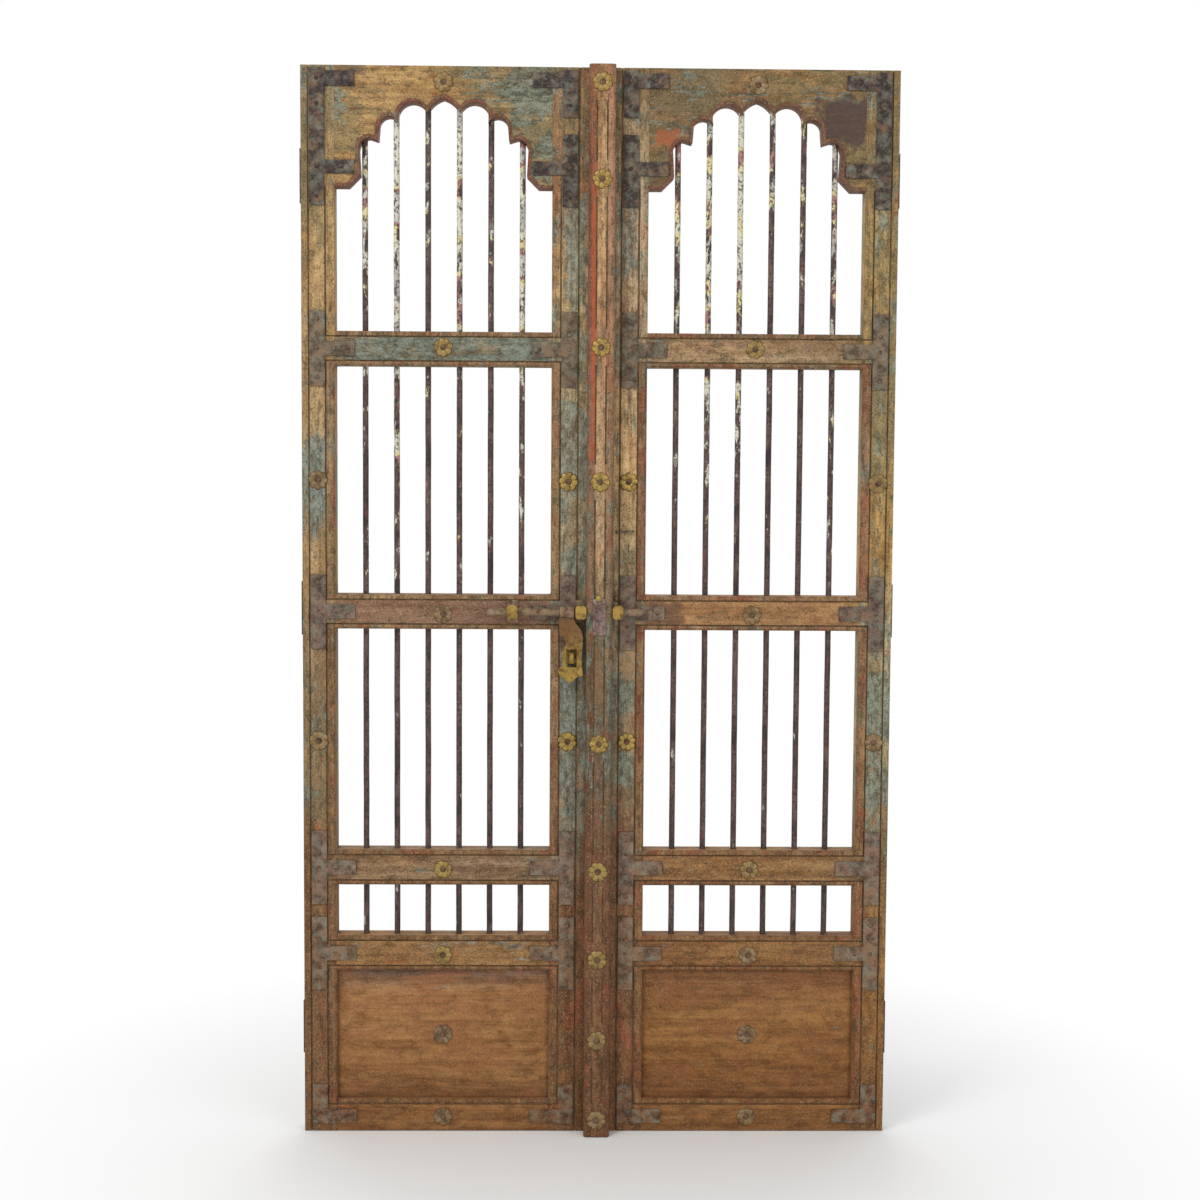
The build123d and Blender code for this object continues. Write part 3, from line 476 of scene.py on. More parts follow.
# Zones of the stiles run from the floor up, those of the rails from left to right
woods = {
    "left_outer_stile": {
        "seed": 1.0, "paint": "#80928C",
        "patches": [("olive", -0.537, 1.80, 0.022, 0.10, 0.8), ("paint", -0.53, 1.27, 0.03, 0.05, 0.85)],
        "zones": [(0.0, "#8E6440", 0.0, 0.1), (0.27, "#966C48", 0.15, 0.3), (0.36, "#A08660", 0.35, 0.5),
                  (0.47, "#A88A66", 0.3, 0.45), (0.55, "#C2A070", 0.15, 0.3), (0.61, "#A8A084", 0.70, 0.3),
                  (0.68, "#C4A474", 0.2, 0.25), (0.86, "#C4A270", 0.12, 0.3), (1.0, "#A89068", 0.3, 0.5)]},
    "left_meeting_stile": {
        "seed": 2.0, "warm": "#A4583A", "warmShare": 0.26, "dirt": 0.42, "paint": "#8A9A90",
        "patches": [("paint", -0.046, 1.68, 0.020, 0.10, 0.85), ("paint", -0.053, 0.819, 0.022, 0.055, 0.9),
                    ("paint", -0.060, 0.697, 0.022, 0.045, 0.85), ("paint", -0.044, 1.08, 0.016, 0.05, 0.8),
                    ("paint", -0.050, 1.31, 0.024, 0.08, 0.95), ("olive", -0.05, 1.86, 0.03, 0.09, 0.7)],
        "zones": [(0.0, "#8E6238", 0.0, 0.1), (0.23, "#906444", 0.15, 0.2), (0.30, "#AE9A7C", 0.6, 0.3),
                  (0.42, "#A08C70", 0.55, 0.45), (0.52, "#A49474", 0.4, 0.45), (0.62, "#C4B490", 0.6, 0.25),
                  (0.78, "#D6B884", 0.42, 0.15), (0.90, "#B8865A", 0.35, 0.4), (1.0, "#A88860", 0.3, 0.5)]},
    "right_outer_stile": {
        "seed": 3.0, "paint": "#8A9A8C",
        "patches": [("paint", 0.525, 0.82, 0.03, 0.06, 0.9), ("olive", 0.53, 1.41, 0.03, 0.13, 0.75),
                    ("olive", 0.53, 1.86, 0.02, 0.09, 0.9), ("paint", 0.53, 0.66, 0.03, 0.04, 0.8)],
        "zones": [(0.0, "#8E6234", 0.0, 0.1), (0.17, "#AC7C42", 0.05, 0.25), (0.27, "#96744C", 0.35, 0.4),
                  (0.36, "#B8A27E", 0.5, 0.3), (0.47, "#BEB08A", 0.5, 0.35), (0.56, "#D2A864", 0.2, 0.25),
                  (0.64, "#B49C68", 0.3, 0.5), (0.82, "#C8A66C", 0.3, 0.4), (1.0, "#A4865A", 0.3, 0.5)]},
    "right_meeting_stile": {
        "seed": 4.0, "warm": "#A4583A", "warmShare": 0.26, "dirt": 0.40, "paint": "#87968A",
        "patches": [("paint", 0.049, 0.839, 0.020, 0.05, 0.85), ("paint", 0.052, 0.70, 0.022, 0.04, 0.75),
                    ("paint", 0.05, 1.70, 0.02, 0.07, 0.75)],
        "stains": [(0.058, 0.899, 0.012, 0.030, 0.4, "#B4885C")],
        "zones": [(0.0, "#8E5C34", 0.0, 0.1), (0.27, "#906848", 0.15, 0.3), (0.36, "#AA9270", 0.4, 0.45),
                  (0.46, "#BA9C74", 0.45, 0.35), (0.55, "#BA9E76", 0.3, 0.4), (0.64, "#F0C890", 0.2, 0.2),
                  (0.72, "#D0B48C", 0.4, 0.25), (0.85, "#D0B694", 0.42, 0.3), (1.0, "#A8885C", 0.3, 0.5)]},
    "left_arched_rail": {
        "seed": 5.0,
        "patches": [("paint", -0.120, 1.955, 0.050, 0.045, 0.95), ("paint", -0.490, 1.925, 0.020, 0.030, 0.8),
                    ("olive", -0.478, 1.895, 0.040, 0.055, 0.9), ("olive", -0.120, 1.868, 0.050, 0.035, 0.95)],
        "stains": [(-0.459, 1.993, 0.030, 0.014, 0.5, "#50443C")],
        "zones": [(0.0, "#C49E68", 0.1, 0.3), (0.45, "#C49E66", 0.15, 0.35), (0.62, "#B29666", 0.40, 0.45),
                  (0.85, "#AC9468", 0.5, 0.45), (1.0, "#A88C64", 0.4, 0.5)]},
    "left_upper_rail": {
        "seed": 6.0, "warm": "#8E6A5C",
        "zones": [(0.0, "#B0946C", 0.5, 0.3), (0.25, "#A09680", 0.68, 0.35), (0.8, "#A09680", 0.68, 0.35),
                  (1.0, "#A88C6C", 0.4, 0.4)]},
    "left_lock_rail": {
        "seed": 7.0, "warm": "#86604F", "warmShare": 0.5, "dirt": 0.2,
        "zones": [(0.0, "#A88662", 0.3, 0.3), (0.15, "#A07C60", 0.0, 0.15), (0.6, "#9C7860", 0.0, 0.15),
                  (1.0, "#8E6E5A", 0.1, 0.2)]},
    "left_third_rail": {
        "seed": 8.0, "warm": "#7E5A4C", "warmShare": 0.3,
        "zones": [(0.0, "#A88662", 0.15, 0.2), (0.5, "#AC8A68", 0.2, 0.2), (1.0, "#9C8060", 0.25, 0.35)]},
    "left_panel_rail": {
        "seed": 9.0, "paint": "#96A09A", "dirt": 0.2,
        "zones": [(0.0, "#AC8050", 0.1, 0.15), (0.55, "#AE8656", 0.24, 0.15), (1.0, "#A27848", 0.12, 0.15)]},
    "left_bottom_rail": {
        "seed": 10.0, "dirt": 0.18, "fine": 0.35,
        "zones": [(0.0, "#9A6A3C", 0.0, 0.1), (1.0, "#9A6A3C", 0.0, 0.1)]},
    "right_arched_rail": {
        "seed": 11.0,
        "patches": [("olive", 0.15, 1.955, 0.07, 0.035, 0.95), ("olive", 0.47, 1.855, 0.045, 0.04, 0.9)],
        "stains": [(0.452, 1.905, 0.050, 0.042, 0.85, "#4C3B37"),
                   (0.122, 1.874, 0.020, 0.016, 0.6, "#A8532F")],
        "zones": [(0.0, "#98744C", 0.3, 0.55), (0.3, "#967652", 0.3, 0.6), (0.6, "#B08A58", 0.3, 0.5),
                  (1.0, "#A07E50", 0.3, 0.5)]},
    "right_upper_rail": {
        "seed": 12.0, "warm": "#A07A68", "warmShare": 0.35,
        "zones": [(0.0, "#BA9874", 0.2, 0.3), (0.5, "#C0A078", 0.15, 0.25), (1.0, "#B09470", 0.2, 0.35)]},
    "right_lock_rail": {
        "seed": 13.0, "warm": "#94604A", "warmShare": 0.2, "dirt": 0.2,
        "stains": [(0.128, 0.994, 0.03, 0.02, 0.6, "#5A443A")],
        "zones": [(0.0, "#9A7250", 0.05, 0.2), (0.15, "#B88A5E", 0.0, 0.1), (1.0, "#B48858", 0.0, 0.1)]},
    "right_third_rail": {
        "seed": 14.0, "dirt": 0.22,
        "zones": [(0.0, "#A87C50", 0.05, 0.2), (0.5, "#AC8252", 0.0, 0.15), (1.0, "#9E7C54", 0.3, 0.3)]},
    "right_panel_rail": {
        "seed": 15.0, "dirt": 0.2,
        "zones": [(0.0, "#92643E", 0.0, 0.15), (0.5, "#A07240", 0.0, 0.1), (1.0, "#946A40", 0.05, 0.15)]},
    "right_bottom_rail": {
        "seed": 16.0, "dirt": 0.16, "fine": 0.35,
        "zones": [(0.0, "#98693A", 0.0, 0.1), (1.0, "#98693A", 0.0, 0.1)]},
}
mouldingWoods = {
    "left": {
        "seed": 51.0, "dirt": 0.4, "warm": "#8E4A30", "warmShare": 0.3,
        "zones": [(0.0, "#90663E", 0.0, 0.1), (0.4, "#A07C58", 0.15, 0.3), (0.6, "#B6966E", 0.15, 0.3),
                  (0.8, "#A07C5C", 0.2, 0.3), (1.0, "#A07C58", 0.2, 0.3)]},
    "right": {
        "seed": 52.0, "dirt": 0.4, "warm": "#8E4A30", "warmShare": 0.42,
        "zones": [(0.0, "#94683C", 0.0, 0.1), (0.4, "#A48058", 0.15, 0.3), (0.6, "#B28A6A", 0.15, 0.25),
                  (0.74, "#A07C5C", 0.2, 0.4), (0.8, "#82664A", 0.25, 0.5), (1.0, "#A07850", 0.2, 0.3)]},
}
grooveWood = {
    "seed": 53.0, "dirt": 0.4,
    "zones": [(0.0, "#A27A54", 0.0, 0.2), (1.0, "#B09468", 0.15, 0.4)]}
rimWood = {
    "seed": 54.0, "dirt": 0.35, "warm": "#7E4434", "warmShare": 0.5,
    "zones": [(0.0, "#7E5A44", 0.0, 0.3), (1.0, "#865E48", 0.1, 0.35)]}
top = floorLevel + leafHeight
mouldings = {side: woodMaterial(side + "Moulding", wood, "Z", floorLevel, top)
             for side, wood in mouldingWoods.items()}
grooveDark = woodMaterial("grooveDark", grooveWood, "Z", floorLevel, top)
rimRed = woodMaterial("rimRed", rimWood, "Z", floorLevel, top)

for node, wood in woods.items():
    side = node.split("_")[0]
    low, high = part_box(node)
    if node.endswith("stile"):
        flat = woodMaterial(node + "_wood", wood, "Z", floorLevel, top)
    else:
        flat = woodMaterial(node + "_wood", wood, "X", low[0], high[0])
    looks = [flat, mouldings[side], grooveDark, rimRed]
    dressNode(node, side + "_leaf", looks, faceChooser(-1 if side == "left" else 1, node))
print("stiles and rails dressed")

# Raised panels, with the grain across
panelWoods = {
    "left": {
        "seed": 29.0, "grain": "X", "dirt": 0.12, "fine": 0.35, "warm": "#97613C", "warmShare": 0.4,
        "zones": [(0.0, "#8E6440", 0.0, 0.05), (0.25, "#AA7A48", 0.0, 0.05), (0.8, "#B0804E", 0.0, 0.05),
                  (0.95, "#8A6C5A", 0.1, 0.1), (1.0, "#7E6458", 0.15, 0.1)]},
    "right": {
        "seed": 31.0, "grain": "X", "dirt": 0.12, "fine": 0.35, "warm": "#8A5834", "warmShare": 0.4,
        "zones": [(0.0, "#885A34", 0.0, 0.05), (0.25, "#986634", 0.0, 0.05), (0.6, "#A67640", 0.0, 0.05),
                  (0.95, "#8E603C", 0.0, 0.1), (1.0, "#845C3C", 0.0, 0.1)]},
}
for side, wood in panelWoods.items():
    low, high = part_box(side + "_panel")
    look = woodMaterial(side + "PanelWood", wood, "Z", low[2], high[2])
    dressNode(side + "_panel", side + "_leaf", [look])

# Cover strip: its middle, the face left of it, the face right of it, the grooves
stripWoods = [
    {
        "seed": 40.0, "warm": "#A4502C", "warmShare": 0.2,
        "stains": [(-0.004, 0.885, 0.011, 0.05, 0.35, "#92643F")],
        "zones": [(0.0, "#8A5E38", 0.0, 0.1), (0.24, "#8A6244", 0.1, 0.2), (0.34, "#845848", 0.42, 0.5),
                  (0.46, "#7E6850", 0.4, 0.6), (0.55, "#CCAC84", 0.25, 0.25), (0.66, "#D0B088", 0.3, 0.2),
                  (0.74, "#C08E68", 0.35, 0.2), (0.86, "#E0B888", 0.12, 0.2), (1.0, "#B88E66", 0.15, 0.35)]},
    {
        "seed": 41.0, "warm": "#944E33", "warmShare": 0.34,
        "stains": [(-0.0095, 1.54, 0.006, 0.27, 0.6, "#AE502C")],
        "zones": [(0.0, "#855A38", 0.0, 0.1), (0.24, "#855C40", 0.1, 0.2), (0.36, "#845A42", 0.4, 0.6),
                  (0.5, "#8C7054", 0.4, 0.4), (0.62, "#A27C60", 0.3, 0.3), (0.72, "#986C54", 0.35, 0.3),
                  (0.78, "#925C44", 0.05, 0.1), (0.95, "#8C583F", 0.05, 0.15), (1.0, "#A07050", 0.1, 0.2)]},
    {
        "seed": 42.0, "warm": "#8C4C33", "warmShare": 0.28,
        "zones": [(0.0, "#855A38", 0.0, 0.1), (0.24, "#855C40", 0.1, 0.2), (0.36, "#7E5E46", 0.45, 0.6),
                  (0.5, "#8C7458", 0.4, 0.4), (0.62, "#AE8664", 0.35, 0.25), (0.75, "#B88A6A", 0.25, 0.2),
                  (1.0, "#BC8C6A", 0.2, 0.2)]},
    grooveWood,
]
stripLooks = [woodMaterial("stripWood%d" % number, wood, "Z", floorLevel, top)
              for number, wood in enumerate(stripWoods)]
middleFace, leftFace, rightFace, stripGroove = range(4)
strip = {"offset": 0.0025, "middleHalf": 0.0075, "cut": 0.0095, "grooveDepths": (-0.0345, -0.0325)}


def stripFace(face):
    spot = face.calc_center_median()
    across = spot.x - middleX - strip["offset"]
    deepest, shallowest = strip["grooveDepths"]
    if deepest < spot.y - faceDepth < shallowest and face.normal.y < -0.9:
        return stripGroove
    if abs(across) < strip["middleHalf"]:
        return middleFace
    return leftFace if across < 0 else rightFace


# The strip is cut in slices first, so that the colours change at the grooves
def dressStrip():
    piece = dressNode("cover_strip", "left_leaf", stripLooks, stripFace, bevel=0.001)
    cells = bmesh.new()
    cells.from_mesh(piece.data)
    for cut in (-strip["cut"], strip["cut"]):
        spot = place(strip["offset"] + cut, 0, 0)
        whole = cells.verts[:] + cells.edges[:] + cells.faces[:]
        bmesh.ops.bisect_plane(cells, geom=whole, plane_co=spot, plane_no=(1, 0, 0))
    for face in cells.faces:
        if face.material_index != stripGroove:
            face.material_index = stripFace(face)
    cells.to_mesh(piece.data)
    cells.free()


dressStrip()
dressNode("strip_plate", "left_leaf", [ironPlate], bevel=0.0005)
for side in ("left", "right"):
    for edge in ("outer", "meeting"):
        dressNode(side + "_" + edge + "_straps", side + "_leaf", [ironStrap], bevel=0.0009)


# The feet of the guides and the top of the hasp are painted like the bolt
def guideFace(face):
    return 1 if min(vert.co.y for vert in face.verts) > faceDepth - 0.0035 else 0


dressNode("bolt_guides", "left_leaf", [brassGuide, ironBolt], guideFace, bevel=0.0022, segments=3)


def haspFace(face):
    height = face.calc_center_median().z - floorLevel
    return 1 if height > boltHeight - 0.012 else 0


dressNode("hasp", "bolt", [brassHasp, ironBolt], haspFace, bevel=0.0009)
kept = {"left_leaf_flaps": ironHinge, "right_leaf_flaps": ironHinge, "left_frame_flaps": ironHinge,
        "right_frame_flaps": ironHinge, "left_hinge_pins": ironHinge, "right_hinge_pins": ironHinge,
        "bolt_rod": ironBolt, "padlock_staple": brassGuide}
for name, material in kept.items():
    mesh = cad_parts[name].data
    mesh.materials.clear()
    mesh.materials.append(material)
print("panels, strip and ironwork dressed")


def addObject(name, mesh):
    piece = bpy.data.objects.new(name, mesh)
    bpy.context.scene.collection.objects.link(piece)
    return piece


def meshFrom(name, cells):
    mesh = bpy.data.meshes.new(name)
    cells.to_mesh(mesh)
    cells.free()
    return mesh


# A points object with one number kept on every point
def markedPoints(name, spots, label, values):
    mesh = bpy.data.meshes.new(name)
    mesh.from_pydata([place(*spot) for spot in spots], [], [])
    mark = mesh.attributes.new(label, "FLOAT", "POINT")
    for item, value in zip(mark.data, values):
        item.value = value
    return addObject(name, mesh)


# Runs a geometry node tree on a points object and keeps the result
def growOn(holder, inputs, build, material):
    tree = bpy.data.node_groups.new(holder.name, "GeometryNodeTree")
    tree.interface.new_socket(name="Geometry", in_out="INPUT", socket_type="NodeSocketGeometry")
    sockets = [(tree.interface.new_socket(name=label, in_out="INPUT", socket_type=kind), value)
               for label, kind, value in inputs]
    tree.interface.new_socket(name="Geometry", in_out="OUTPUT", socket_type="NodeSocketGeometry")
    entry, result = tree.nodes.new("NodeGroupInput").outputs, tree.nodes.new("NodeGroupOutput").inputs
    real = addNode(tree, "GeometryNodeRealizeInstances", None, Geometry=build(tree, entry))
    last = addNode(tree, "GeometryNodeSetMaterial", None, Geometry=real.outputs[0], Material=material)
    tree.links.new(last.outputs[0], result[0])
    modifier = holder.modifiers.new("nodes", "NODES")
    modifier.node_group = tree
    for socket, value in sockets:
        modifier[socket.identifier] = value
    graph = bpy.context.evaluated_depsgraph_get()
    mesh = bpy.data.meshes.new_from_object(holder.evaluated_get(graph))
    holder.modifiers.clear()
    holder.data = mesh
    for face in mesh.polygons:
        face.use_smooth = True


def declare(piece, body, node=None):
    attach(piece, body)
    if node:
        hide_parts(node)


# Bars: forged rods along slightly uneven lines
bar = {"count": 6, "steps": 160, "sides": 20, "uneven": 0.0016, "waves": 9.0,
       "flakes": {"left": (0.72, 0.97, 0.45, 0.88, 0.50, 0.93), "right": (0.62, 0.84, 0.88, 0.52, 0.50, 0.68)}}


def buildBars(tree, entry):
    line = addNode(tree, "GeometryNodeCurvePrimitiveLine", None, Start=(0, 0, 0))
    end = addNode(tree, "ShaderNodeCombineXYZ", None, Z=entry["Length"]).outputs[0]
    tree.links.new(end, line.inputs["End"])
    steps = addNode(tree, "GeometryNodeResampleCurve", None, Curve=line.outputs[0], Count=bar["steps"])
    copies = addNode(tree, "GeometryNodeInstanceOnPoints", None, Points=entry["Geometry"],
                     Instance=steps.outputs[0])
    lines = addNode(tree, "GeometryNodeRealizeInstances", None, Geometry=copies.outputs[0])
    here = addNode(tree, "GeometryNodeInputPosition").outputs[0]
    wobble = addNode(tree, "ShaderNodeTexNoise", {"noise_dimensions": "4D"}, Vector=here, Scale=bar["waves"],
                     W=entry["Seed"], Detail=3.0)
    centred = addNode(tree, "ShaderNodeVectorMath", {"operation": "SUBTRACT"}, i0=wobble.outputs["Color"],
                      i1=(0.5, 0.5, 0.5))
    small = addNode(tree, "ShaderNodeVectorMath", {"operation": "SCALE"}, i0=centred.outputs[0],
                    Scale=entry["Uneven"])
    uneven = addNode(tree, "GeometryNodeSetPosition", None, Geometry=lines.outputs[0], Offset=small.outputs[0])
    ring = addNode(tree, "GeometryNodeCurvePrimitiveCircle", None, Resolution=bar["sides"], Radius=entry["Radius"])
    solid = addNode(tree, "GeometryNodeCurveToMesh", None, Curve=uneven.outputs[0])
    tree.links.new(ring.outputs[0], solid.inputs["Profile Curve"])
    solid.inputs["Fill Caps"].default_value = True
    return solid.outputs[0]


for side, flakes in bar["flakes"].items():
    low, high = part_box(side + "_bars")
    radius = (high[1] - low[1]) / 2
    pitch = (high[0] - low[0] - 2 * radius) / (bar["count"] - 1)
    spots = [(low[0] + radius + i * pitch - middleX, low[1] + radius - faceDepth, low[2] - floorLevel)
             for i in range(bar["count"])]
    bars = markedPoints("dressed_" + side + "_bars", spots, "flakes", flakes)
    inputs = [("Length", "NodeSocketFloat", high[2] - low[2]), ("Radius", "NodeSocketFloat", radius),
              ("Uneven", "NodeSocketFloat", bar["uneven"]), ("Seed", "NodeSocketFloat", low[0])]
    growOn(bars, inputs, buildBars, barMaterial(side + "BarPaint", 60.0 + low[0]))
    declare(bars, side + "_leaf", side + "_bars")
print("bars made")


# One rosette: eight petals round a sunk middle
rosette = {"radius": 0.0185, "valley": 0.0150, "height": 0.0032, "petals": 8, "turns": 64, "rings": 9, "sunk": 0.28}


def petalDisc():
    cells = bmesh.new()
    turns, rings, sunk = rosette["turns"], rosette["rings"], rosette["sunk"]
    rows = []
    for k in range(1, rings + 1):
        row = []
        share = k / rings
        for i in range(turns):
            angle = 2 * math.pi * i / turns
            swell = abs(math.cos(rosette["petals"] / 2 * angle))
            reach = rosette["valley"] + (rosette["radius"] - rosette["valley"]) * min(1.0, swell * 1.35) ** 0.6
            arch = math.sin(math.pi * max(0.0, (share - sunk) / (1 - sunk))) ** 0.7 if sunk < share < 1.0 else 0.0
            lift = 0.0
            if k < rings:
                lift = rosette["height"] * (0.30 + 0.70 * arch * (1 - 0.75 * (1 - swell) ** 3))
            row.append(cells.verts.new((reach * share * math.sin(angle), -lift, reach * share * math.cos(angle))))
        rows.append(row)
    for inner, outer in zip(rows, rows[1:]):
        for i in range(turns):
            j = (i + 1) % turns
            cells.faces.new((inner[i], inner[j], outer[j], outer[i]))
    cells.faces.new(rows[0])
    cells.faces.new(rows[-1])
    bmesh.ops.recalc_face_normals(cells, faces=cells.faces)
    return addObject("petalDisc", meshFrom("petalDisc", cells))


def domeNail(name, radius, height):
    cells = bmesh.new()
    bmesh.ops.create_uvsphere(cells, u_segments=20, v_segments=12, radius=radius)
    for vert in cells.verts:
        vert.co.y = min(vert.co.y * height / radius, 0.0)
    return addObject(name, meshFrom(name, cells))


# Copies of one small piece at every marked point, turned and sized at random
def buildCopies(tree, entry):
    shape = addNode(tree, "GeometryNodeObjectInfo", None, Object=entry["Piece"])
    turn = addNode(tree, "FunctionNodeRandomValue", {"data_type": "FLOAT"}, Seed=entry["Seed"])
    plug(tree, turn.inputs[2], calc(tree, "MULTIPLY", entry["Turn"], -1.0))
    plug(tree, turn.inputs[3], entry["Turn"])
    size = addNode(tree, "FunctionNodeRandomValue", {"data_type": "FLOAT"}, Seed=entry["Seed"])
    plug(tree, size.inputs[2], entry["Smallest"])
    plug(tree, size.inputs[3], entry["Largest"])
    angle = addNode(tree, "ShaderNodeCombineXYZ", None, Y=turn.outputs[1]).outputs[0]
    copies = addNode(tree, "GeometryNodeInstanceOnPoints", None, Points=entry["Geometry"],
                     Instance=shape.outputs["Geometry"], Rotation=angle)
    plug(tree, copies.inputs["Scale"], size.outputs[1])
    return copies.outputs[0]


def setOut(name, spots, worn, source, seed, material, body, node=None, turn=0.35, sizes=(0.95, 1.03)):
    holder = markedPoints(name, spots, "tarnish", worn)
    inputs = [("Piece", "NodeSocketObject", source), ("Seed", "NodeSocketInt", seed),
              ("Turn", "NodeSocketFloat", turn), ("Smallest", "NodeSocketFloat", sizes[0]),
              ("Largest", "NodeSocketFloat", sizes[1])]
    growOn(holder, inputs, buildCopies, material)
    declare(holder, body, node)


# The domed nail of a rosette and the smaller rivet of a strap
nailSize = {"radius": 0.0056, "height": 0.0036, "stand": 0.0009}
rivetSize = {"radius": 0.0040, "height": 0.0018}

# Rosettes: front of the strip, heights above the floor, and how worn each one
# is, from 0 to 1
stripFront = -0.036
stripHeights = (0.0325, 0.18625, 0.34125, 0.50925, 0.7505, 1.2395, 1.487, 1.793, 1.9675)
railHeights = (1.487, 0.991, 0.50575, 0.34125, 0.02725, 1.971)
panelMiddle = 0.18625
stileMiddles = (0.523, 0.056)
stileHeights = (0.7505, 1.2395)
worn = {"strip": (0.75, 0.6, 0.45, 0.35, 0.05, 0.15, 0.1, 0.15, 0.35),
        "left": (0.35, 0.85, 0.3, 0.4, 0.9, 0.65, 0.95, 0.7, 0.85, 0.15, 0.15),
        "right": (0.45, 0.8, 0.6, 0.8, 0.8, 0.75, 0.95, 0.8, 0.6, 0.1, 0.1)}
hands = {"left": -1, "right": 1}
disc = petalDisc()
nail = domeNail("domeNail", nailSize["radius"], nailSize["height"])
rivet = domeNail("rivetDome", rivetSize["radius"], rivetSize["height"])
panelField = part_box("left_panel")[0][1] - faceDepth
spotsOf = {"strip": [(strip["offset"], stripFront, z) for z in stripHeights]}
for side, hand in hands.items():
    spots = [(hand * leafOffset, 0, z) for z in railHeights]
    spots.append((hand * leafOffset, panelField, panelMiddle))
    spotsOf[side] = spots + [(hand * x, 0, z) for x in stileMiddles for z in stileHeights]
for seed, (name, spots) in enumerate(spotsOf.items()):
    body = "right_leaf" if name == "right" else "left_leaf"
    setOut(name + "Petals", spots, worn[name], disc, seed, brassRosette, body, name + "_rosettes")
    fronts = [(x, y - nailSize["stand"], z) for x, y, z in spots]
    setOut(name + "Nails", fronts, worn[name], nail, seed, ironNail, body)
print("rosettes set out")

# Rivets on the straps: crosses at the four middle rails, then the corners as
# (height, reach inward from the middle of the stile)
rivetRows = {"rails": ((0.311, 0.3785), (0.4755, 0.543), (0.962, 1.027), (1.452, 1.516)),
             "across": (0.0, 0.030, 0.056), "along": (-0.054, -0.027, 0.027, 0.054), "front": -0.003,
             "corners": ((0.029, 0.0), (0.029, 0.045), (0.078, 0.0), (1.976, 0.0), (1.976, 0.045), (1.930, 0.0),
                         (1.816, 0.0), (1.816, 0.045), (1.762, 0.0))}
boltEndNails = [(0.056, 0.0, 1.052), (0.056, 0.0, 0.941)]
front = rivetRows["front"]
for side, hand in hands.items():
    spots = []
    for edge, inward in zip(stileMiddles, (-1, 1)):
        for low, high in rivetRows["rails"]:
            middle = (low + high) / 2
            spots += [(hand * (edge + inward * reach), front, middle) for reach in rivetRows["across"]]
            spots += [(hand * edge, front, middle + step) for step in rivetRows["along"]]
        spots += [(hand * (edge + inward * reach), front, z) for z, reach in rivetRows["corners"]]
    if side == "right":
        spots += boltEndNails
    setOut(side + "Rivets", spots, [0.0] * len(spots), rivet, 5 + hand, ironRivet, side + "_leaf",
           sizes=(0.8, 1.1))
setOut("plateNail", [(0.001, -0.0375, 1.0235)], [0.1], nail, 3, brassRosette, "left_leaf")
for piece in (disc, nail, rivet):
    bpy.data.objects.remove(piece)


# Bent wire through a few points: the eyelet and the small staple
def bentWire(name, points, thickness, closed, material):
    curve = bpy.data.curves.new(name, "CURVE")
    curve.dimensions = "3D"
    curve.bevel_depth = thickness / 2
    curve.bevel_resolution = 3
    spline = curve.splines.new("POLY")
    spline.points.add(len(points) - 1)
    for point, spot in zip(spline.points, points):
        point.co = (*place(*spot), 1)
    spline.use_cyclic_u = closed
    curve.materials.append(material)
    declare(addObject(name, curve), "right_leaf")


eyelet = {"x": 0.036, "depth": -0.0015, "z": 1.0225, "radius": 0.0052, "wire": 0.0028, "turns": 28}
staple = {"wire": 0.0034, "points": [(0.034, 0.002, 1.1465), (0.034, -0.004, 1.1465), (0.037, -0.0055, 1.1463),
                                     (0.062, -0.0055, 1.148), (0.066, -0.004, 1.148), (0.066, 0.002, 1.148)]}
ringTurns = [2 * math.pi * i / eyelet["turns"] for i in range(eyelet["turns"])]
ring = [(eyelet["x"] + eyelet["radius"] * math.cos(turn), eyelet["depth"],
         eyelet["z"] + eyelet["radius"] * math.sin(turn)) for turn in ringTurns]
bentWire("eyelet", ring, eyelet["wire"], True, brassHasp)
bentWire("smallStaple", staple["points"], staple["wire"], False, ironRivet)
print("rivets and wires set out")


# Stage: pale floor that turns white away from the doors, white surroundings
floorLook = {"colour": "#F4F4F3", "shadeEnds": 0.45, "whiteFrom": 1.3, "radius": 9.0}
lamps = {"key": {"spot": (-1.5, -2.6, 2.6), "size": 1.5, "power": 66, "colour": (1.0, 0.99, 0.96)},
         "fill": {"spot": (2.9, -3.0, 0.8), "size": 2.2, "power": 24, "colour": (1, 1, 1)},
         "back": {"spot": (0.6, 3.2, 1.8), "size": 2.0, "power": 34, "colour": (1, 1, 1)}}


def isSeen(tree):
    path = tree.nodes.new("ShaderNodeLightPath").outputs
    mirrored = calc(tree, "MAXIMUM", path["Is Glossy Ray"], path["Is Transmission Ray"])
    return calc(tree, "MAXIMUM", path["Is Camera Ray"], mirrored)


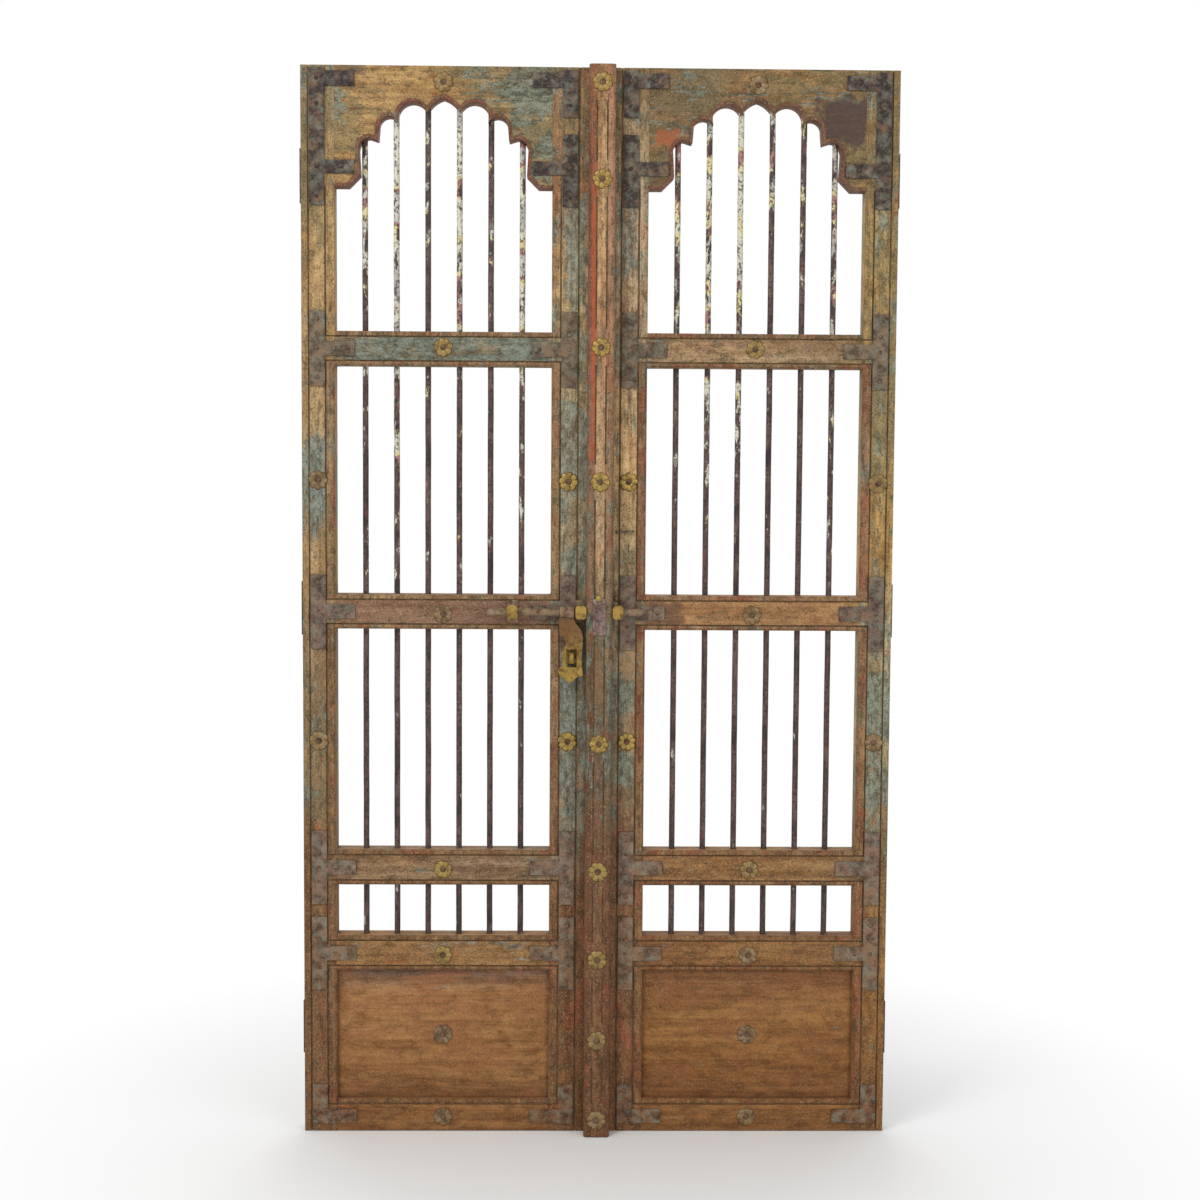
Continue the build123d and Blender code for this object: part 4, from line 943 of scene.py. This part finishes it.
floorMaterial, tree, shader, spot = startMaterial("floorPale", 0.9)
shader.inputs["Base Color"].default_value = linear(floorLook["colour"])
away = addNode(tree, "ShaderNodeVectorMath", {"operation": "LENGTH"}, i0=spot).outputs["Value"]
away = spread(tree, away, floorLook["shadeEnds"], floorLook["whiteFrom"])
glow = addNode(tree, "ShaderNodeEmission", None, Color=(1, 1, 1, 1), Strength=1.0)
share = calc(tree, "MULTIPLY", isSeen(tree), away)
blend = addNode(tree, "ShaderNodeMixShader", None, i0=share, i1=shader.outputs[0], i2=glow.outputs[0])
output = next(node for node in tree.nodes if node.type == "OUTPUT_MATERIAL")
tree.links.new(blend.outputs[0], output.inputs[0])
bpy.ops.mesh.primitive_circle_add(vertices=96, radius=floorLook["radius"], fill_type="NGON",
                                  location=(middleX, 0, floorLevel - 0.001))
floor = bpy.context.object
floor.name = "floor"
floor.data.materials.append(floorMaterial)

world = bpy.data.worlds.new("studio")
bpy.context.scene.world = world
world.use_nodes = True
tree = world.node_tree
tree.nodes.clear()
dim = addNode(tree, "ShaderNodeBackground", None, Color=(0.97, 0.98, 1.0, 1), Strength=0.62)
white = addNode(tree, "ShaderNodeBackground", None, Color=(1, 1, 1, 1), Strength=1.0)
blend = addNode(tree, "ShaderNodeMixShader", None, i0=isSeen(tree), i1=dim.outputs[0], i2=white.outputs[0])
tree.links.new(blend.outputs[0], tree.nodes.new("ShaderNodeOutputWorld").inputs[0])

for name, lamp in lamps.items():
    light = bpy.data.lights.new(name, "AREA")
    light.size = lamp["size"]
    light.energy = lamp["power"]
    light.color = lamp["colour"]
    holder = addObject(name, light)
    holder.location = lamp["spot"]
    towards = Vector((middleX, 0.0, 0.0)) - Vector(lamp["spot"])
    holder.rotation_euler = towards.to_track_quat("-Z", "Y").to_euler()

# Camera: where it stands, how it is turned (radians) and its lens
view = {"spot": (0.4951, -3.5780, 0.2781), "yaw": 0.0181, "pitch": -0.0729, "roll": 0.0066, "lens": 57.0}
yaw, pitch, roll = view["yaw"], view["pitch"], view["roll"]
ahead = Vector((math.sin(yaw) * math.cos(pitch), math.cos(yaw) * math.cos(pitch), math.sin(pitch)))
across = Vector((math.cos(yaw), -math.sin(yaw), 0))
above = across.cross(ahead)
right = math.cos(roll) * across + math.sin(roll) * above
up = math.cos(roll) * above - math.sin(roll) * across
camera = addObject("camera", bpy.data.cameras.new("camera"))
camera.data.lens = view["lens"]
camera.data.sensor_width = 36.0
camera.matrix_world = Matrix([(right[i], up[i], -ahead[i], view["spot"][i]) for i in range(3)] + [(0, 0, 0, 1)])
bpy.context.scene.camera = camera
bpy.context.scene.view_settings.view_transform = "Standard"

print("stage set")
